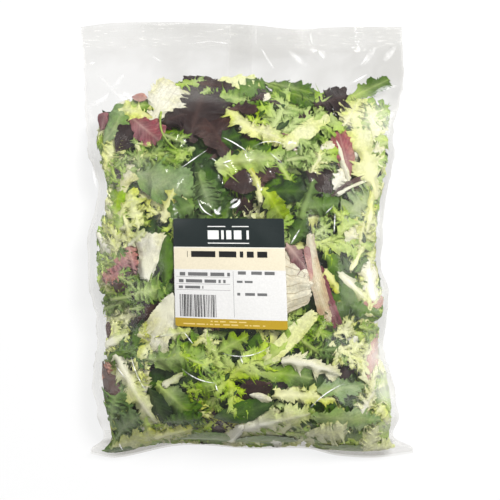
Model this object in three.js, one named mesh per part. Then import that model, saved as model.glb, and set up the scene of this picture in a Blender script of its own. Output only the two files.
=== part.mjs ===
// A clear pillow bag full of mixed salad leaves, lying on its back, with a square sticker on its front.
// Millimetres. +X runs across the bag, +Y from its folded-under bottom seal to its top seal, +Z out of its
// front. The table is z = 0. The bag is one solid out to its film, and the leaves show as swells in it.
import * as THREE from "three";

// Driving dimensions
const THICKNESS = 76; // the filled bag at its deepest
const Y_BOTTOM = -182.5; // the bottom fold, in the middle of the bag
const Y_TOP = 194; // the cut end of the top seal
const SEAL = 19; // height of a ribbed seal band
const FILM = 1.2; // thickness of the two films where they lie together
const FOLD_RADIUS = 4; // the bottom seal turns under on this radius
const RIB_PITCH = 2.5;
const RIB_HEIGHT = 0.3;
const SEAL_LIFT = 7; // the top seal floats this far over the table
const FIN = { left: -17, width: 21, depth: 0.6, step: 0.5 }; // the seam down the back, folded flat
const LABEL = { x: -14.4, y: -27, width: 96, height: 95, tilt: -0.008, thickness: 0.5, gap: 0.4 };

// How the bag's sides run, as [y, x], from the bottom corners to the top ones
const LEFT_SIDE = [
  [-182, -141], [-171, -130], [-152, -132], [-126, -137], [-82, -132], [-33, -140], [8, -140],
  [29, -134], [50, -132], [76, -140], [122, -145], [175, -147], [194, -149],
];
const RIGHT_SIDE = [
  [-182, 149], [-170, 131], [-152, 133], [-118, 127], [-103, 121], [-82, 120], [-62, 124], [-39, 123],
  [-22, 118], [31, 121], [73, 129], [104, 130], [125, 136], [142, 140], [175, 139], [194, 138],
];
// How its ends run, as [x, y]: the bottom fold points down at its corners, and the cut top edge waves
const BOTTOM_EDGE = [
  [-141, -187], [-118, -190], [-60, -179], [4, -182], [54, -182], [80, -188], [115, -190], [149, -186],
];
const TOP_EDGE = [[-149, 193], [-122, 197], [-90, 198], [-36, 197], [2, 195], [45, 191], [76, 193], [138, 194]];
// How deep the filling is along the bag, as [y, share of THICKNESS]
const FILLING = [
  [-182, 0.86], [-130, 0.95], [-60, 1], [20, 0.96], [80, 0.82], [115, 0.62], [140, 0.33], [158, 0.15],
  [175, 0.07], [194, 0.03],
];
const BOTTOM_ROUNDING = 46; // the bottom end reaches its full depth in this length

// The grid of each film
const SIDE_COLUMNS = 16;
const BODY_ROWS = 38;
const TURN_ROWS = 4;
const FLAP_RIBS = 6;
const FLAP_RIB_START = 16; // from the fold to the last rib of the bottom seal
const TOP_RIBS = 7;
const LABEL_CELLS = 12;

const clamp = (v, low, high) => Math.min(high, Math.max(low, v));
const mix = (a, b, t) => a + (b - a) * t;
const ease = (low, high, v) => {
  const t = clamp((v - low) / (high - low), 0, 1);
  return t * t * (3 - 2 * t);
};

// A smooth curve through [place, value] points, as a function of the place.
function through(points) {
  const slopes = points.map((p, i) => {
    const before = points[Math.max(i - 1, 0)];
    const after = points[Math.min(i + 1, points.length - 1)];
    return (after[1] - before[1]) / (after[0] - before[0]);
  });
  return (place) => {
    let i = points.findIndex((p) => p[0] > place) - 1;
    if (i < 0) i = place <= points[0][0] ? 0 : points.length - 2;
    const [start, v0] = points[i];
    const [end, v1] = points[i + 1];
    const t = clamp((place - start) / (end - start), 0, 1);
    const keep = (1 + 2 * t) * (1 - t) ** 2;
    const lead = t * (1 - t) ** 2 * (end - start);
    const trail = t * t * (t - 1) * (end - start);
    return v0 * keep + slopes[i] * lead + v1 * (1 - keep) + slopes[i + 1] * trail;
  };
}

const leftSide = through(LEFT_SIDE);
const rightSide = through(RIGHT_SIDE);
const bottomEdge = through(BOTTOM_EDGE);
const topEdge = through(TOP_EDGE);
const filling = through(FILLING);

// Where across the bag x lies: -1 on its left side, 1 on its right side.
const across = (x, y) => (2 * x - leftSide(y) - rightSide(y)) / (rightSide(y) - leftSide(y));

// How full the section is at x: 1 in the middle and 0 at the creased sides.
const fullness = (x, y) => (1 - Math.min(1, Math.abs(across(x, y))) ** 2.4) ** 0.72;

// How far the front stands over the table along the middle of the bag.
function depth(y) {
  const t = clamp((y - Y_BOTTOM) / BOTTOM_ROUNDING, 0, 1);
  return THICKNESS * filling(y) * (1 - (1 - t) ** 2.3) ** 0.62;
}

// Height of the side creases, which meet the folded bottom and the floating top seal. The ribs under the
// folded seal stand on the table.
const foldHeight = FILM / 2 + RIB_HEIGHT + 2 * FOLD_RADIUS;
function creaseHeight(x, y) {
  const body = 0.42 * depth(y) + 1.5 * Math.sin(y / 9 + across(x, y));
  const low = mix(foldHeight, body, ease(Y_BOTTOM, Y_BOTTOM + 30, y));
  const seal = SEAL_LIFT + 1.6 * Math.sin(x / 34 + 0.6) + 0.8 * Math.sin(x / 13);
  return mix(low, seal, ease(Y_TOP - SEAL - 45, Y_TOP - SEAL + 2, y));
}

// The label holds the film smooth under it.
function underLabel(x, y) {
  const dx = Math.abs(x - LABEL.x) - LABEL.width / 2;
  const dy = Math.abs(y - LABEL.y) - LABEL.height / 2;
  return 1 - ease(0, 18, Math.max(dx, dy));
}

// Swells where leaves push the film out.
function leafSwell(x, y) {
  const broad = Math.sin(x / 13 + 1.7 * Math.sin(y / 29)) * Math.cos(y / 15 + 1.4 * Math.sin(x / 23));
  const fine = Math.sin(x / 7.5 + y / 10 + 1.2 * Math.sin(y / 17));
  return 2 * broad + 0.9 * fine;
}

// Folds that run down from the top seal and fade out over the leaves.
function sealFolds(x, y) {
  const fade = ease(95, 150, y) * (1 - ease(Y_TOP - SEAL - 9, Y_TOP - SEAL + 1, y));
  const slant = 0.35 * Math.sin(x / 60) * (Y_TOP - y);
  return fade * (1.5 * Math.sin((x + slant) / 8.5) + 1.2 * Math.sin((x - slant) / 19 + 1));
}

function relief(x, y) {
  const filled = fullness(x, y) * ease(Y_BOTTOM + 4, Y_BOTTOM + 30, y) * (1 - ease(120, 160, y));
  return filled * leafSwell(x, y) * (1 - 0.9 * underLabel(x, y)) + sealFolds(x, y) * fullness(x, y);
}

function frontHeight(x, y) {
  const crease = creaseHeight(x, y);
  const rise = Math.max(depth(y) - crease, 0) * fullness(x, y);
  return crease + FILM / 2 + rise + relief(x, y) * Math.min(1, rise / 8);
}

// The back lies flat in the middle, on the thickness of its seam.
function backHeight(x, y) {
  const crease = creaseHeight(x, y);
  const drop = 1.35 * crease * fullness(x, y) * ease(Y_TOP - SEAL, Y_TOP - SEAL - 40, y);
  const overFlap = (foldHeight - FILM / 2) * (1 - ease(Y_BOTTOM, Y_BOTTOM + 44, y));
  return Math.max(FIN.depth, overFlap, crease - FILM / 2 - drop);
}

// How far the two ends stray from straight across, fading out into the bag.
function stray(x, y) {
  const bottom = (bottomEdge(x) - Y_BOTTOM) * (1 - ease(Y_BOTTOM, Y_BOTTOM + 40, y));
  return bottom + (topEdge(x) - Y_TOP) * ease(Y_TOP - SEAL, Y_TOP, y);
}

// The x of each column of a row: even steps to each side of the back seam, with its two steps.
function columns(y) {
  const left = leftSide(y);
  const right = rightSide(y);
  const finRight = FIN.left + FIN.width;
  const xs = [];
  for (let i = 0; i <= SIDE_COLUMNS; i++) xs.push(mix(left, FIN.left, i / SIDE_COLUMNS));
  xs.push(FIN.left + FIN.step, mix(FIN.left, finRight, 0.5), finRight - FIN.step);
  for (let i = 0; i <= SIDE_COLUMNS; i++) xs.push(mix(finRight, right, i / SIDE_COLUMNS));
  return xs;
}

const inFin = (x) => x > FIN.left && x < FIN.left + FIN.width;

// One row across the bag, as the points of its front film and of its back film.
function bodyRow(y, thicker = 0) {
  const xs = columns(y);
  return {
    front: xs.map((x) => [x, y + stray(x, y), frontHeight(x, y) + thicker]),
    back: xs.map((x) => [x, y + stray(x, y), backHeight(x, y) - thicker - (inFin(x) ? FIN.depth : 0)]),
  };
}

// One row of the bottom seal, a distance along its path: round the fold, then flat under the bag, where
// its ends stay inside the sides of the bag.
function flapRow(path, thicker = 0) {
  const turn = Math.min(path / FOLD_RADIUS, Math.PI);
  const inward = Math.max(path - Math.PI * FOLD_RADIUS, 0);
  const half = FILM / 2 + thicker;
  const xs = columns(Y_BOTTOM + inward);
  const side = (sign) => (x) => {
    const outward = FOLD_RADIUS + sign * half;
    const y = Y_BOTTOM + stray(x, Y_BOTTOM) - outward * Math.sin(turn) + inward;
    return [x, y, foldHeight - FOLD_RADIUS + outward * Math.cos(turn)];
  };
  return { front: xs.map(side(1)), back: xs.map(side(-1)) };
}

// Two rows for each rib of a seal band, crest and valley.
function ribbed(count, row) {
  const rows = [];
  for (let i = 0; i <= 2 * count; i++) rows.push(row((i * RIB_PITCH) / 2, i % 2 ? RIB_HEIGHT : 0));
  return rows;
}

function bagRows() {
  const turnLength = Math.PI * FOLD_RADIUS;
  const flap = [flapRow(turnLength + SEAL)];
  flap.push(...ribbed(FLAP_RIBS, (d, h) => flapRow(turnLength + FLAP_RIB_START - d, h)));
  for (let i = TURN_ROWS - 1; i > 0; i--) flap.push(flapRow((turnLength * i) / TURN_ROWS));

  const body = [];
  const bodyLength = Y_TOP - SEAL - Y_BOTTOM;
  for (let i = 0; i < BODY_ROWS; i++) {
    const t = i / BODY_ROWS;
    body.push(bodyRow(Y_BOTTOM + bodyLength * (0.75 * t + 0.25 * t * t)));
  }
  const seal = ribbed(TOP_RIBS, (d, h) => bodyRow(Y_TOP - SEAL + d, h));
  seal.push(bodyRow(Y_TOP));
  return [...flap, ...body, ...seal];
}

// A closed geometry from a front sheet and a back sheet of the same rows and columns.
function closedSheets(rows) {
  const width = rows[0].front.length;
  const positions = [...rows.flatMap((r) => r.front), ...rows.flatMap((r) => r.back)].flat();
  const back = rows.length * width;
  const index = [];
  const quad = (a, b, c, d) => index.push(a, b, c, a, c, d);
  for (let r = 0; r + 1 < rows.length; r++) {
    for (let c = 0; c + 1 < width; c++) {
      const i = r * width + c;
      quad(i, i + 1, i + width + 1, i + width);
      quad(back + i, back + i + width, back + i + width + 1, back + i + 1);
    }
    const left = r * width;
    const right = left + width - 1;
    quad(left, left + width, back + left + width, back + left);
    quad(right, back + right, back + right + width, right + width);
  }
  const last = (rows.length - 1) * width;
  for (let c = 0; c + 1 < width; c++) {
    quad(c, back + c, back + c + 1, c + 1);
    quad(last + c, last + c + 1, back + last + c + 1, back + last + c);
  }
  const geometry = new THREE.BufferGeometry();
  geometry.setAttribute("position", new THREE.Float32BufferAttribute(positions, 3));
  geometry.setIndex(index);
  geometry.computeVertexNormals();
  return geometry;
}

// The sticker, bent over the front of the bag.
function labelRows() {
  const at = (u, v, over) => {
    const flatX = u * LABEL.width;
    const flatY = v * LABEL.height;
    const x = LABEL.x + flatX * Math.cos(LABEL.tilt) - flatY * Math.sin(LABEL.tilt);
    const y = LABEL.y + flatX * Math.sin(LABEL.tilt) + flatY * Math.cos(LABEL.tilt);
    return [x, y, frontHeight(x, y) + LABEL.gap + over];
  };
  const steps = Array.from({ length: LABEL_CELLS + 1 }, (_, i) => i / LABEL_CELLS - 0.5);
  return steps.map((v) => ({
    front: steps.map((u) => at(u, v, LABEL.thickness)),
    back: steps.map((u) => at(u, v, 0)),
  }));
}

function piece(name, rows, finish) {
  const mesh = new THREE.Mesh(closedSheets(rows), new THREE.MeshStandardMaterial(finish));
  mesh.name = name;
  return mesh;
}

const salad = new THREE.Group();
salad.add(piece("bag", bagRows(), { color: 0x8fae5a, roughness: 0.2, metalness: 0 }));
salad.add(piece("label", labelRows(), { color: 0xf4f1e8, roughness: 0.45, metalness: 0 }));

// The origin is under the middle of the bag, on the table.
const box = new THREE.Box3().setFromObject(salad);
const centre = box.getCenter(new THREE.Vector3());
salad.position.set(-centre.x, -centre.y, -box.min.z);

export default salad;
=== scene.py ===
# A clear pillow bag of mixed salad leaves with a square sticker, lying on its back under soft studio light.
# Shapes are worked out in millimetres, in the frame in which the bag was drawn: +X across it, +Y from its
# folded bottom seal to its top seal, +Z up. Meshes are written in metres.
import math

import bpy
import numpy as np
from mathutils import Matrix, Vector


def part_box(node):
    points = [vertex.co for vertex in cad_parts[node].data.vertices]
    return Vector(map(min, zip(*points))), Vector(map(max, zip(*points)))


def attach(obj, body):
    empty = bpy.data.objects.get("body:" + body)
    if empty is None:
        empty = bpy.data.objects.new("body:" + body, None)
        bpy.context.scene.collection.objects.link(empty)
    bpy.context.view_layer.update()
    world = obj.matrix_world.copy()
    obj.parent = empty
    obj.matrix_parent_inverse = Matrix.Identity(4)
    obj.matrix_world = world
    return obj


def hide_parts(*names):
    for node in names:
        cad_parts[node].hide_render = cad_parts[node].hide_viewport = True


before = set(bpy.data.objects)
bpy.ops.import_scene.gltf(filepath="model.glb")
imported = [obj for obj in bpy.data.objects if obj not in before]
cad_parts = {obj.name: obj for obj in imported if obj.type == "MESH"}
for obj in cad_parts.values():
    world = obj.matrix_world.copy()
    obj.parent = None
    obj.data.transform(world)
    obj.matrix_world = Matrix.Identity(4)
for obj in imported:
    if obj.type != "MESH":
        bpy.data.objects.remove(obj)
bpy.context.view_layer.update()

# The bag
THICKNESS = 76  # the filled bag at its deepest
HALF_WIDTH = 149  # its seals reach this far left and right
Y_BOTTOM = -182.5  # the bottom fold, in the middle of the bag
Y_TOP = 194  # the cut end of the top seal
SEAL = 19  # height of a ribbed seal band
FILM = 0.5  # thickness of the two films where they lie together
FOLD_RADIUS = 4  # the bottom seal turns under on this radius
FOLD_TOP = 0.9 + 2 * FOLD_RADIUS  # height of the fold over the table
FOLD_SKIN = 0.6  # how far the outer face of the solid's fold lies past that radius
FOLD_ROOM = 0.6  # room for leaves round the fold, inside each film
RIB_PITCH = 2.5
RIB_HEIGHT = 0.3
SEAL_LIFT = 7  # the top seal floats this far over the table
BACK_LIFT = 0.6  # the back lies this far over the table, on its seam
BOTTOM_ROUNDING = 46  # the bottom end reaches its full depth in this length
SEAM_LEFT = -17  # the flat seam down the back
SEAM_WIDTH = 21
# The sticker
LABEL_X = -14.4
LABEL_Y = -27
LABEL_WIDTH = 96
LABEL_HEIGHT = 95

# How the sides run, as [y, x], and the ends, as [x, y]
LEFT_SIDE = [
    [-182, -141], [-171, -130], [-152, -132], [-126, -137], [-82, -132], [-33, -140], [8, -140],
    [29, -134], [50, -132], [76, -140], [122, -145], [175, -147], [194, -149],
]
RIGHT_SIDE = [
    [-182, 149], [-170, 131], [-152, 133], [-118, 127], [-103, 121], [-82, 120], [-62, 124], [-39, 123],
    [-22, 118], [31, 121], [73, 129], [104, 130], [125, 136], [142, 140], [175, 139], [194, 138],
]
BOTTOM_EDGE = [
    [-141, -187], [-118, -190], [-60, -179], [4, -182], [54, -182], [80, -188], [115, -190], [149, -186],
]
TOP_EDGE = [[-149, 193], [-122, 197], [-90, 198], [-36, 197], [2, 195], [45, 191], [76, 193], [138, 194]]
# How deep the filling is along the bag, as [y, share of THICKNESS]
FILLING = [
    [-182, 0.86], [-130, 0.95], [-60, 1], [20, 0.96], [80, 0.82], [115, 0.62], [140, 0.33], [158, 0.15],
    [175, 0.07], [194, 0.03],
]

# The camera stands over the table where the photograph's middle is
CAMERA_HEIGHT = 1150
PIXEL = 0.9  # millimetres for each pixel of the photograph at the height of the seals
SEAL_PLANE = 8
PHOTO_SIZE = 500
PHOTO_MIDDLE = (2.25, -7.65)

METRE = 0.001


def mix(a, b, t):
    return a + (b - a) * t


def ease(low, high, value):
    t = np.clip((value - low) / (high - low), 0, 1)
    return t * t * (3 - 2 * t)


def through(points):
    """A smooth curve through [place, value] points, as a function of the place."""
    places, values = np.array(points, float).T
    ahead = np.minimum(np.arange(len(places)) + 1, len(places) - 1)
    behind = np.maximum(np.arange(len(places)) - 1, 0)
    slopes = (values[ahead] - values[behind]) / (places[ahead] - places[behind])

    def curve(place):
        i = np.clip(np.searchsorted(places, place, side="right") - 1, 0, len(places) - 2)
        span = places[i + 1] - places[i]
        t = np.clip((place - places[i]) / span, 0, 1)
        keep = (1 + 2 * t) * (1 - t) ** 2
        lead = t * (1 - t) ** 2 * span
        trail = t * t * (t - 1) * span
        return values[i] * keep + slopes[i] * lead + values[i + 1] * (1 - keep) + slopes[i + 1] * trail

    return curve


left_side, right_side = through(LEFT_SIDE), through(RIGHT_SIDE)
bottom_edge, top_edge = through(BOTTOM_EDGE), through(TOP_EDGE)
filling = through(FILLING)


def frame_shift():
    """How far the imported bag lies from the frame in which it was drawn."""
    low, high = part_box("bag")
    along_x = np.linspace(-HALF_WIDTH, HALF_WIDTH, 600)
    lowest = bottom_edge(along_x).min() - FOLD_RADIUS - FOLD_SKIN
    highest = top_edge(along_x).max()
    middle = (low + high) / 2 / METRE
    return np.array([middle.x, middle.y - (lowest + highest) / 2, 0])


SHIFT = frame_shift()
NOISE_CELLS = 61


def noise(x, y, size, seed):
    """Smooth random bumps about size millimetres across, from -1 to 1."""
    table = np.random.default_rng(seed).uniform(-1, 1, (NOISE_CELLS, NOISE_CELLS))
    middle = 10 * NOISE_CELLS
    gx, gy = np.asarray(x) / size + middle, np.asarray(y) / size + middle
    ix, iy = np.floor(gx).astype(int), np.floor(gy).astype(int)
    fx, fy = ease(0, 1, gx - ix), ease(0, 1, gy - iy)
    left, right = ix % NOISE_CELLS, (ix + 1) % NOISE_CELLS
    low, high = iy % NOISE_CELLS, (iy + 1) % NOISE_CELLS
    near = mix(table[left, low], table[right, low], fx)
    far = mix(table[left, high], table[right, high], fx)
    return mix(near, far, fy)


def across(x, y):
    """Where across the bag x lies: -1 on its left side, 1 on its right side."""
    return (2 * x - left_side(y) - right_side(y)) / (right_side(y) - left_side(y))


def x_across(share, y):
    """The x at a share of the way across the bag: -1 on its left side, 1 on its right side."""
    return mix(left_side(y), right_side(y), 0.5 + 0.5 * share)


def fullness(x, y):
    return (1 - np.minimum(1, np.abs(across(x, y))) ** 2.4) ** 0.72


def depth(y):
    t = np.clip((y - Y_BOTTOM) / BOTTOM_ROUNDING, 0, 1)
    return THICKNESS * filling(y) * (1 - (1 - t) ** 2.3) ** 0.62


def crease_height(x, y):
    body = 0.42 * depth(y) + 1.5 * np.sin(y / 9 + across(x, y))
    low = mix(FOLD_TOP, body, ease(Y_BOTTOM, Y_BOTTOM + 30, y))
    seal = SEAL_LIFT + 1.6 * np.sin(x / 34 + 0.6) + 0.8 * np.sin(x / 13)
    return mix(low, seal, ease(Y_TOP - SEAL - 45, Y_TOP - SEAL + 2, y))


def under_label(x, y):
    dx = np.abs(x - LABEL_X) - LABEL_WIDTH / 2
    dy = np.abs(y - LABEL_Y) - LABEL_HEIGHT / 2
    return 1 - ease(0, 18, np.maximum(dx, dy))


def leaf_swell(x, y):
    broad = np.sin(x / 13 + 1.7 * np.sin(y / 29)) * np.cos(y / 15 + 1.4 * np.sin(x / 23))
    fine = np.sin(x / 7.5 + y / 10 + 1.2 * np.sin(y / 17))
    return 2 * broad + 0.9 * fine


def seal_folds(x, y):
    fade = ease(95, 150, y) * (1 - ease(Y_TOP - SEAL - 9, Y_TOP - SEAL + 1, y))
    slant = 0.35 * np.sin(x / 60) * (Y_TOP - y)
    return fade * (1.5 * np.sin((x + slant) / 8.5) + 1.2 * np.sin((x - slant) / 19 + 1))


def relief(x, y):
    filled = fullness(x, y) * ease(Y_BOTTOM + 4, Y_BOTTOM + 30, y) * (1 - ease(120, 160, y))
    return filled * leaf_swell(x, y) * (1 - 0.9 * under_label(x, y)) + seal_folds(x, y) * fullness(x, y)


def fold_room(y):
    """How far each film stands off the middle of the bottom fold, over its flat thickness."""
    return FOLD_ROOM * (1 - ease(Y_BOTTOM + 2, Y_BOTTOM + 8, y))


def front_height(x, y):
    crease = crease_height(x, y)
    rise = np.maximum(depth(y) - crease, 0) * fullness(x, y)
    return crease + FILM / 2 + fold_room(y) + rise + relief(x, y) * np.minimum(1, rise / 8)


def back_height(x, y):
    crease = crease_height(x, y)
    drop = 1.35 * crease * fullness(x, y) * ease(Y_TOP - SEAL, Y_TOP - SEAL - 40, y)
    over_flap = (FOLD_TOP - FILM / 2) * (1 - ease(Y_BOTTOM, Y_BOTTOM + 44, y))
    return np.maximum(np.maximum(BACK_LIFT, over_flap), crease - FILM / 2 - drop) - fold_room(y)


def crumple(x, y):
    """Fine creased facets of the film. Its ridges run every way, and the sticker holds it flat."""
    long_facets = 1 - np.abs(noise(0.8 * x + 0.6 * y, 0.5 * (0.8 * y - 0.6 * x), 24, 1))
    cross_facets = 1 - np.abs(noise(0.5 * (0.9 * x - 0.4 * y), 0.4 * x + 0.9 * y, 17, 2))
    small = 1 - np.abs(noise(x, y, 9, 3))
    loose = 0.55 + 0.9 * ease(0.55, 0.9, np.abs(across(x, y))) + 0.7 * ease(100, 140, y)
    room = np.minimum(1, fullness(x, y) * 1.6) * (1 - ease(Y_TOP - SEAL - 8, Y_TOP - SEAL, y))
    ends = ease(Y_BOTTOM, Y_BOTTOM + 16, y)
    facets = 0.9 * long_facets + 0.8 * cross_facets + 0.35 * small - 1.2
    return loose * room * ends * facets * (1 - 0.95 * under_label(x, y))


def side_creases(x, y):
    """How far the film's sides are crumpled in and out."""
    a = across(x, y)
    kinks = (1 - 2 * np.abs(noise(0 * y, y, 13, 31 + 2 * (a > 0)))) + 0.5 * noise(0 * y, y, 5, 33)
    return kinks * np.sign(a) * ease(0.8, 1, np.abs(a)) * ease(Y_BOTTOM, Y_BOTTOM + 8, y)


def film_top(x, y):
    return front_height(x, y) + crumple(x, y)


def stray(x, y):
    bottom = (bottom_edge(x) - Y_BOTTOM) * (1 - ease(Y_BOTTOM, Y_BOTTOM + 40, y))
    return bottom + (top_edge(x) - Y_TOP) * ease(Y_TOP - SEAL, Y_TOP, y)


def on_front(column, row):
    """The point of the bag's front that the camera sees at a pixel of the photograph, as x and y."""
    height = 50.0
    for _ in range(5):
        scale = PIXEL * (CAMERA_HEIGHT - height) / (CAMERA_HEIGHT - SEAL_PLANE)
        x = PHOTO_MIDDLE[0] + (column - PHOTO_SIZE / 2) * scale
        y = PHOTO_MIDDLE[1] + (PHOTO_SIZE / 2 - row) * scale
        height = float(front_height(np.array(x), np.array(y)))
    return x, y


def closed_sheets(front, back):
    """Vertices and quads of the closed body between two grids of points of the same size."""
    rows, columns = front.shape[:2]
    points = np.concatenate([front.reshape(-1, 3), back.reshape(-1, 3)])
    i = np.arange(rows * columns).reshape(rows, columns)
    j = i + rows * columns
    quads = [
        (i[:-1, :-1], i[:-1, 1:], i[1:, 1:], i[1:, :-1]),
        (j[:-1, :-1], j[1:, :-1], j[1:, 1:], j[:-1, 1:]),
        (i[:-1, 0], i[1:, 0], j[1:, 0], j[:-1, 0]),
        (i[:-1, -1], j[:-1, -1], j[1:, -1], i[1:, -1]),
        (i[0, :-1], j[0, :-1], j[0, 1:], i[0, 1:]),
        (i[-1, :-1], i[-1, 1:], j[-1, 1:], j[-1, :-1]),
    ]
    return points, np.concatenate([np.stack(q, -1).reshape(-1, 4) for q in quads])


def joined(bodies):
    """The points and quads of many bodies as those of one."""
    points, quads, count = [], [], 0
    for more, faces in bodies:
        points.append(more)
        quads.append(faces + count)
        count += len(more)
    return np.concatenate(points), np.concatenate(quads)


def add_mesh(name, points, quads, material, attributes=(), sharp_rims=False):
    """A smooth mesh object from points in millimetres, with one value or vector for each point by name."""
    mesh = bpy.data.meshes.new(name)
    mesh.vertices.add(len(points))
    mesh.vertices.foreach_set("co", ((points + SHIFT) * METRE).astype(np.float32).ravel())
    mesh.loops.add(quads.size)
    mesh.loops.foreach_set("vertex_index", quads.astype(np.int32).ravel())
    mesh.polygons.add(len(quads))
    mesh.polygons.foreach_set("loop_start", np.arange(0, quads.size, 4, dtype=np.int32))
    mesh.polygons.foreach_set("use_smooth", np.ones(len(quads), bool))
    for key, values in dict(attributes).items():
        kind, field = ("FLOAT_VECTOR", "vector") if values.ndim == 2 else ("FLOAT", "value")
        made = mesh.attributes.new(key, kind, "POINT")
        made.data.foreach_set(field, values.astype(np.float32).ravel())
    mesh.update(calc_edges=True)
    if sharp_rims:
        mesh.set_sharp_from_angle(angle=math.radians(80))
    mesh.materials.append(material)
    thing = bpy.data.objects.new(name, mesh)
    bpy.context.scene.collection.objects.link(thing)
    return thing


# Materials

def new_material(name):
    material = bpy.data.materials.new(name)
    material.use_nodes = True
    material.node_tree.nodes.clear()
    return material, material.node_tree


def node(tree, kind, inputs=(), **settings):
    """A node with its settings, and its inputs set to numbers or joined to other nodes' outputs."""
    made = tree.nodes.new(kind)
    for key, value in settings.items():
        setattr(made, key, value)
    for key, value in dict(inputs).items():
        if isinstance(value, bpy.types.NodeSocket):
            tree.links.new(value, made.inputs[key])
        else:
            made.inputs[key].default_value = value
    return made


def calc(tree, operation, *values):
    made = node(tree, "ShaderNodeMath", dict(enumerate(values)), operation=operation)
    return made.outputs[0]


def plus(tree, a, b):
    return calc(tree, "ADD", a, b)


def minus(tree, a, b):
    return calc(tree, "SUBTRACT", a, b)


def times(tree, a, b):
    return calc(tree, "MULTIPLY", a, b)


def attribute(tree, name, output="Fac"):
    return node(tree, "ShaderNodeAttribute", attribute_name=name).outputs[output]


def separated(tree, vector):
    return node(tree, "ShaderNodeSeparateXYZ", {"Vector": vector}).outputs


def bumped(tree, strength, distance, height):
    inputs = {"Strength": strength, "Distance": distance, "Height": height}
    return node(tree, "ShaderNodeBump", inputs).outputs[0]


def mixed(tree, share, a, b):
    """Shader a turned into shader b by a share."""
    return node(tree, "ShaderNodeMixShader", {0: share, 1: a, 2: b}).outputs[0]


def smooth_step(tree, value, low, high, out_low=0.0, out_high=1.0):
    inputs = {"Value": value, "From Min": low, "From Max": high, "To Min": out_low, "To Max": out_high}
    made = node(tree, "ShaderNodeMapRange", inputs, interpolation_type="SMOOTHSTEP")
    return made.outputs["Result"]


def blend(tree, share, a, b, kind="MIX"):
    """Colour a turned into colour b by a share."""
    made = tree.nodes.new("ShaderNodeMix")
    made.data_type = "RGBA"
    made.blend_type = kind
    for key, value in ((0, share), (6, a), (7, b)):
        if isinstance(value, bpy.types.NodeSocket):
            tree.links.new(value, made.inputs[key])
        elif key:
            made.inputs[key].default_value = (*value, 1)
        else:
            made.inputs[key].default_value = value
    return made.outputs[2]


def dimmed(tree, colour, share):
    grey = node(tree, "ShaderNodeCombineXYZ", {"X": share, "Y": share, "Z": share}).outputs[0]
    return blend(tree, 1.0, colour, grey, "MULTIPLY")


def ramp(tree, value, stops):
    """A colour for a value from 0 to 1, through (place, colour) stops."""
    made = node(tree, "ShaderNodeValToRGB", {"Fac": value})
    elements = made.color_ramp.elements
    while len(elements) < len(stops):
        elements.new(0.5)
    for element, (place, colour) in zip(elements, stops):
        element.position = place
        element.color = (*colour, 1)
    return made.outputs["Color"]


def grain(tree, scale, detail=3.0, roughness=0.55, stretch=None):
    """Noise fixed to the object, with scale bumps a metre, stretched by three more scales where given."""
    place = node(tree, "ShaderNodeTexCoord").outputs["Object"]
    if stretch:
        place = node(tree, "ShaderNodeVectorMath", {0: place, 1: stretch}, operation="MULTIPLY").outputs[0]
    inputs = {"Vector": place, "Scale": scale, "Detail": detail, "Roughness": roughness}
    return node(tree, "ShaderNodeTexNoise", inputs).outputs["Fac"]


def finish_tree(tree, shader):
    node(tree, "ShaderNodeOutputMaterial", {"Surface": shader})


def leaf_material(name, shades, rib, vein_count=9.0, vein_lean=2.2, glow=0.22, veins=0.13,
                  strands=0.0):
    """A waxy wet leaf. Its shade goes by leaf, and it pales towards its rib."""
    material, tree = new_material(name)
    parts = separated(tree, attribute(tree, "leaf", "Vector"))
    pale = attribute(tree, "pale")
    mottle = grain(tree, 95, 4)
    tone = plus(tree, parts["Z"], times(tree, minus(tree, mottle, 0.5), 1.4))
    tone = plus(tree, tone, times(tree, minus(tree, parts["X"], 0.5), 0.25))
    outward = calc(tree, "ABSOLUTE", parts["Y"])
    tone = plus(tree, tone, times(tree, minus(tree, outward, 0.5), 0.3))
    colour = ramp(tree, tone, shades)
    # Side veins run out from the rib and lean towards the tip.
    row = minus(tree, times(tree, parts["X"], vein_count),
               times(tree, outward, vein_lean))
    wobble = times(tree, grain(tree, 60), 1.2)
    off = calc(tree, "ABSOLUTE", minus(tree, calc(tree, "FRACT", plus(tree, row, wobble)), 0.5))
    vein = smooth_step(tree, off, 0.0, 0.13, 1.0, 0.0)
    colour = blend(tree, times(tree, vein, veins), colour, rib)
    if strands:
        # Thin brownish strands run along the rib.
        strand = calc(tree, "FRACT", plus(tree, times(tree, parts["Y"], 3.7), wobble))
        thin = smooth_step(tree, calc(tree, "ABSOLUTE", minus(tree, strand, 0.5)), 0.0, 0.12, 1.0, 0.0)
        colour = blend(tree, times(tree, thin, strands), colour, (0.33, 0.25, 0.13))
    speckle = smooth_step(tree, grain(tree, 420, 2), 0.35, 0.7, 0.85, 1.1)
    colour = dimmed(tree, colour, speckle)
    colour = blend(tree, pale, colour, rib)
    # Some stretches are greyer, as a waxy bloom makes them.
    bloom = smooth_step(tree, grain(tree, 26, 2), 0.4, 0.62, 0.92, 1.25)
    colour = node(tree, "ShaderNodeHueSaturation", {"Saturation": bloom, "Color": colour}).outputs[0]
    height = plus(tree, times(tree, vein, -0.6), times(tree, grain(tree, 600, 3), 1.0))
    bump = bumped(tree, 0.35, 0.0008, height)
    wet = smooth_step(tree, grain(tree, 160, 2), 0.4, 0.65, 0.3, 0.52)
    surface = node(tree, "ShaderNodeBsdfPrincipled", {
        "Base Color": colour, "Roughness": wet, "Normal": bump, "Specular IOR Level": 0.45,
    })
    through_leaf = node(tree, "ShaderNodeBsdfTranslucent", {"Color": colour, "Normal": bump})
    finish_tree(tree, mixed(tree, glow, surface.outputs[0], through_leaf.outputs[0]))
    return material


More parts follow.
